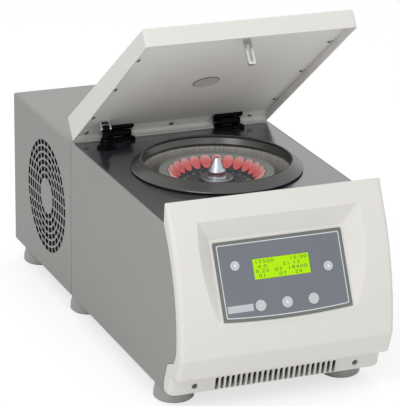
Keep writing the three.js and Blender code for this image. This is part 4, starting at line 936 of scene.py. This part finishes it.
# A capped tube seen from above: egg-shaped cap, wider at its outer end, with a ring and the tube's neck
def tubeShape():
    outline = []
    for step in range(36):
        angle = math.tau * step / 36
        along = math.cos(angle)
        outline.append((along * rotor["capLong"] / 2, math.sin(angle) * rotor["capWide"] / 2 * (1 + 0.2 * along)))
    cap = plate(outline, rotor["capLow"], rotor["capHigh"], 0.8, 3)
    radius, high = rotor["ringRadius"], rotor["capHigh"]
    bead = softened([(radius - 0.8, high - 0.4, 0), (radius - 0.5, high + 0.5, 0.3), (radius + 0.3, high + 0.5, 0.3),
                     (radius + 0.6, high - 0.4, 0)])
    ring = spun(bead, 28, True)
    neck = rod(rotor["boreRadius"] - 0.3, -6.5, rotor["capLow"] + 0.2, 0.2, 24)
    return together(cap, ring, neck)


def addRotor():
    collected("rotorHead", rotorShape(), chamberFrame, rotorShadedAnodised, "rotor", ["rotor_head"], 40)
    numbers = []
    for number in range(rotor["places"]):
        shape = turnedOver(figures(str(number + 1), 0, rotor["numberHeight"]), 90, "Z", rotor["numberPlace"])
        numbers.append(atPlace(shape, number))
    collected("rotorNumbers", together(*numbers), chamberFrame, rotorMark, "rotor",
              outward=False, even=False)
    tubes = [atPlace(leanedBack(tubeShape()), number) for number in range(rotor["places"])]
    collected("cappedTubes", together(*tubes), chamberFrame, capPlasticWithPaintedLight(), "rotor", sharp=45)
    nut = softened([
        (0, -14.7, 0), (20.4, -14.7, 0.4), (21, -14, 0.4), (21, -12.3, 0.6), (19.6, -11.5, 0.5), (12.8, -11.5, 0.8),
        (11.7, -10.3, 0.8), (11.5, -3.4, 1.5), (9.2, 0, 2), (6.4, 6.6, 2), (3.8, 12.2, 1), (3.2, 13.4, 0.6),
        (0, 13.4, 0)], False)
    collected("rotorNut", spun(nut, 80), chamberFrame, nutSteel, "rotor", ["rotor_nut"], 30)


# Lid

lidPlate = {"half": 135.2, "front": -323.4, "rear": 4.4, "face": 7.5, "thick": 1.5, "postRadius": 4}
lidScrews = {
    "radius": 3.6, "height": 1.9, "across": (-124.7, 130), "rows": (-255.5, -155, -52.5),
    "strip": (-119, -0.5, 112), "stripPlace": (-0.5, 5.5), "stripTurn": 162,
}
badge = {"y": -148.8, "radius": 17, "face": 6.4}
striker = {
    "y": -302.5, "top": 7.2, "tip": -29.4, "half": 4.75, "leg": 2.85, "window": (4, 28), "thick": 4.4, "base": 8.5,
}
lidBox = {
    "half": 137.5, "front": -325.7, "rear": 7.5, "bottom": -2.5, "frontHeight": 24.1, "rearHeight": 34.5, "wall": 2,
    "radius": 3.2,
}


# The lid's wedge, all round smaller by the inset
def lidBlock(inset, low):
    front, rear, half = lidBox["front"] + inset, lidBox["rear"] - inset, lidBox["half"] - inset
    tops = [lidBox["bottom"] + lidBox[name] - inset for name in ("rearHeight", "frontHeight")]
    return beam([(front, low), (rear, low), (rear, tops[0]), (front, tops[1])], -half, half, 0)


def lidShellShape():
    shape = lidBlock(0, lidBox["bottom"])
    edges = [edge for edge in shape.edges if max(vert.co.z for vert in edge.verts) > lidBox["bottom"] + 1]
    bmesh.ops.bevel(shape, geom=edges, offset=lidBox["radius"], offset_type="OFFSET", affect="EDGES",
                    segments=5, profile=0.5, material=-1, clamp_overlap=True)
    return bevelled(carved(shape, lidBlock(lidBox["wall"], lidBox["bottom"] - 10)), 0.5, 2, 60)


def addLid():
    collected("lidShell", lidShellShape(), lidFrame, whitePlastic, "lid", ["lid_shell"])
    half, face, thick = lidPlate["half"], lidPlate["face"], lidPlate["thick"]
    sheet = block((-half, lidPlate["front"], face), (half, lidPlate["rear"], face + thick), 0.3)
    places = [(x, y) for y in lidScrews["rows"] for x in lidScrews["across"]]
    posts = [rod(lidPlate["postRadius"], face + 0.5, 30 + place[1] * 0.032, 0.3, 24, place) for place in places]
    collected("lidInnerPlate", together(sheet, *posts), lidFrame, plateGrey, "lid", ["lid_inner_plate"])
    sections = {
        "lidRearStrip": ([(-6.5, 7.4), (4.7, 3.8), (4.7, 4.7), (-6.5, 8.3)], plateGrey, "plate_grey"),
        "lidRearLip": ([(4.5, 3.6), (4.5, -1.1), (5.4, -1.1), (5.4, 3.6)], whitePlastic, "lid_white"),
    }
    for name, (section, material, slot) in sections.items():
        strips = [beam(section, left, right, 0.15) for left, right in ((-135, -99), (-55, 55), (99, 135))]
        collected(name, together(*strips), lidFrame, material, "lid")
    spots = [(180, (x, y, face - 0.02)) for x, y in places]
    spots += [(lidScrews["stripTurn"], (x, *lidScrews["stripPlace"])) for x in lidScrews["strip"]]
    heads = [turnedOver(screw(lidScrews["radius"], lidScrews["height"]), turn, "X", spot) for turn, spot in spots]
    collected("lidScrews", together(*heads), lidFrame, screwSteel, "lid")
    radius, low = badge["radius"], badge["face"]
    disc = spun(softened([
        (0, low + 0.3, 0), (radius - 2.6, low + 0.3, 0.2), (radius - 2.2, low, 0.2), (radius - 0.4, low, 0.3),
        (radius, low + 0.3, 0.2), (radius, low + 0.8, 0), (0, low + 0.8, 0)], False), 72)
    collected("lidBadge", moved(disc, 0, badge["y"], 0), lidFrame, badgePaint(), "lid", ["lid_badge"])


# Plain disc: the plate's grey inside a darker edge line
def badgePaint():
    finish = Finish("badgePaint")
    x, y, z = finish.axes()
    centre = lidFrame @ Vector((0, badge["y"], badge["face"]))
    away = ((x - centre.x) ** 2 + (y - centre.y) ** 2 + (z - centre.z) ** 2) ** 0.5 * 1000
    cloud = finish.noise(60, 2)
    field = finish.mix(cloud, tint(206, 206, 201), tint(216, 216, 211))
    edge = away > badge["radius"] - 1.1
    finish.shade(color=finish.mix(edge, field, tint(112, 112, 106)), roughness=cloud * 0.06 + 0.33)
    return finish.material


# A flat loop of bright steel hanging from a square foot
def addStriker():
    y, top, tip, half = striker["y"], striker["top"], striker["tip"], striker["half"]
    outline = softened([(-half, top, 0.3), (-half, tip, 2.6), (half, tip, 2.6), (half, top, 0.3)])
    tongue = turnedOver(plate(outline, -striker["thick"] / 2, striker["thick"] / 2, 0), 90, "X")
    low, high = (tip + reach for reach in striker["window"])
    inside = half - striker["leg"]
    hole = softened([(-inside, low, 1.2), (inside, low, 1.2), (inside, high, 1.2), (-inside, high, 1.2)])
    tongue = carved(tongue, turnedOver(plate(hole, -9, 9, 0), 90, "X"))
    tongue = bevelled(moved(tongue, 0, y, 0), 0.9, 4, 50)
    reach = striker["base"]
    corners = ((-reach, y - reach), (reach, y - reach), (reach, y + reach), (-reach, y + reach))
    foot = plate(softened([(*corner, 2) for corner in corners]), top - 2, top, 0.4)
    collected("lidStriker", tongue, lidFrame, brightSteel, "lid", ["lid_striker"])
    collected("strikerFoot", foot, lidFrame, plateGrey, "lid")


def addHinges():
    for side in ("left", "right"):
        for half, body in (("base", "cabinet"), ("leaf", "lid")):
            node = "hinge_%s_%s" % (half, side)
            name = "hinge" + half.capitalize() + side.capitalize()
            collected(name, softCopy(node, 0.5), rowFrame, blackPlastic, body, [node])


# Gas strut with its rubber boot

boot = {
    "x": -104.5, "y": -36.6, "base": 0.3, "foot": 11.8, "neck": 6.2, "height": 13.5, "collar": 8.2,
    "closed": 0.02,  # share of its height to be left under the closed fork, though the boot is drawn here at full height
}


def addStrut():
    collected("strutFork", softCopy("strut_fork", 0.5), rowFrame, brightSteel, "lid", ["strut_fork"])
    head = softCopy("strut_rod", 0.3, 1, 50)
    collected("strutRod", head, rowFrame, blackPlastic, "strut_rod_body", ["strut_rod"], 40)
    base, foot, neck, height, collar = (boot[key] for key in ("base", "foot", "neck", "height", "collar"))
    profile = [(foot, base, 0.2), (foot, 3, 1.2), (collar, 4.6, 1), (collar + 0.5, 7, 1.4), (collar - 1, 8.4, 0.8),
               (collar - 0.4, 10.6, 1.2), (neck, height, 0.5), (neck - 1, height, 0.3), (collar - 2, 3, 0.5),
               (foot - 2, base, 0.1)]
    cone = moved(spun(softened(profile), 64, True), boot["x"], boot["y"], 0)
    piece = collected("strutBoot", cone, deckFrame, bootRubber, "cabinet", ["strut_boot"], 60,
                      even=False)
    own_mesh(piece)


# Feet

feet = {"rows": {"front": -301, "middle": 8.2, "rear": 206.5}, "sides": {"left": -112, "right": 112}}


def addFeet():
    profile = softened([
        (0, -238, 0), (22.4, -238, 1), (25.2, -235.6, 1.2), (24.9, -228, 6), (20.8, -213.2, 1), (19.4, -212.3, 0.5),
        (0, -212.3, 0)], False)
    for row, y in feet["rows"].items():
        for side, x in feet["sides"].items():
            foot = moved(spun(profile, 72), x, y, 0)
            name = "foot" + row.capitalize() + side.capitalize()
            collected(name, foot, deckFrame, footRubber, "cabinet", ["foot_%s_%s" % (row, side)], 50)


# Hoods pressed inward over the louvres of the back

louvres = {
    "rows": 10, "pitch": 11, "top": -42, "left": -110.6, "right": -13.4, "panel": 237.4, "reach": 6, "drop": 5.4,
    "sheet": 0.8,
}


def addLouvres():
    hoods = []
    for row in range(louvres["rows"]):
        low = louvres["top"] - row * louvres["pitch"]
        high = low + louvres["sheet"]
        near, far = louvres["panel"], louvres["panel"] - louvres["reach"]
        section = [(near, high), (far, high - louvres["drop"]), (far, low - louvres["drop"]), (near, low)]
        hoods.append(beam(section, louvres["left"], louvres["right"], 0.1))
    collected("louvreHoods", together(*hoods), deckFrame, sidePaint, "cabinet")


# CAD nodes that keep their form and get a finish

nodeFinishes = {
    "left_side_panel": sidePaint, "right_side_panel": sidePaint, "rear_left_panel": grilleGrey,
    "rear_right_panel": sidePaint, "rear_top_panel": sidePaint, "rear_panel": sidePaint, "base_pan": sidePaint,
    "partition_plate": sidePaint, "top_deck": deckCoat, "bowl_insulation": foamGrey, "drive_motor": dullSteel,
    "motor_mount": softRubber, "motor_shaft": brightSteel, "control_board": boardGreen, "hinge_pin_left": brightSteel,
    "hinge_pin_right": brightSteel, "strut_foot": dullSteel, "strut_tube": castBlack, "lock_housing": blackPlastic,
    "lock_catch": brightSteel, "fan_rotor": blackPlastic, "fan_motor": castBlack, "fan_bracket": castBlack,
    "condenser": finAluminium, "compressor": castBlack, "discharge_pipe": copperTube, "suction_pipe": copperTube,
    "power_inlet": blackPlastic, "switch_rocker": blackPlastic,
}


def finishNodes():
    for name, material in nodeFinishes.items():
        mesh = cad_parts[name].data
        mesh.materials.clear()
        mesh.materials.append(material)


# Floor and surroundings: near white to the camera, plain white to everything else

stage = {"floor": 0.87, "floorSeen": 0.42, "glow": 0.68, "sky": 0.6}


def addStage():
    shape = bmesh.new()
    bmesh.ops.create_grid(shape, x_segments=2, y_segments=2, size=30)
    mesh = bpy.data.meshes.new("floor")
    shape.to_mesh(mesh)
    shape.free()
    finish = Finish("floorPaper", roughness=0.9, specular=0.1, emissionStrength=stage["glow"])
    seen = finish.node("ShaderNodeLightPath", output="Is Camera Ray")
    plain, shaded = ((stage[key],) * 3 + (1,) for key in ("floor", "floorSeen"))
    finish.shade(color=finish.mix(seen, plain, shaded), emission=finish.mix(seen, (0, 0, 0, 1), (1, 1, 1, 1)))
    mesh.materials.append(finish.material)
    linked("floor", mesh)
    world = bpy.data.worlds.new("studio")
    bpy.context.scene.world = world
    world.use_nodes = True
    sky = Graph(world.node_tree)
    path = sky.node("ShaderNodeLightPath", output="Is Camera Ray")
    glossy = Wire(sky, path.socket.node.outputs["Is Glossy Ray"])
    through = Wire(sky, path.socket.node.outputs["Is Transmission Ray"])
    white = (1, 1, 1, 1)
    lighting = sky.node("ShaderNodeBackground", None, {"Color": white, "Strength": stage["sky"]})
    backdrop = sky.node("ShaderNodeBackground", None, {"Color": white, "Strength": 1})
    direct = path.sum("MAXIMUM", glossy).sum("MAXIMUM", through)
    mixed = sky.node("ShaderNodeMixShader", None, {0: direct, 1: lighting, 2: backdrop})
    sky.feed(sky.tree.nodes["World Output"].inputs["Surface"], mixed)


addCamera()
addLamps()
print("camera and lamps ready")
finishNodes()
addFascia()
print("fascia ready")
addPanel()
print("control panel ready")
addChamber()
addRotor()
print("chamber and rotor ready")
addLid()
addStriker()
addHinges()
print("lid ready")
addStrut()
addFeet()
addLouvres()
print("strut, feet and louvres ready")
addStage()
bpy.context.scene.view_settings.view_transform = "Standard"
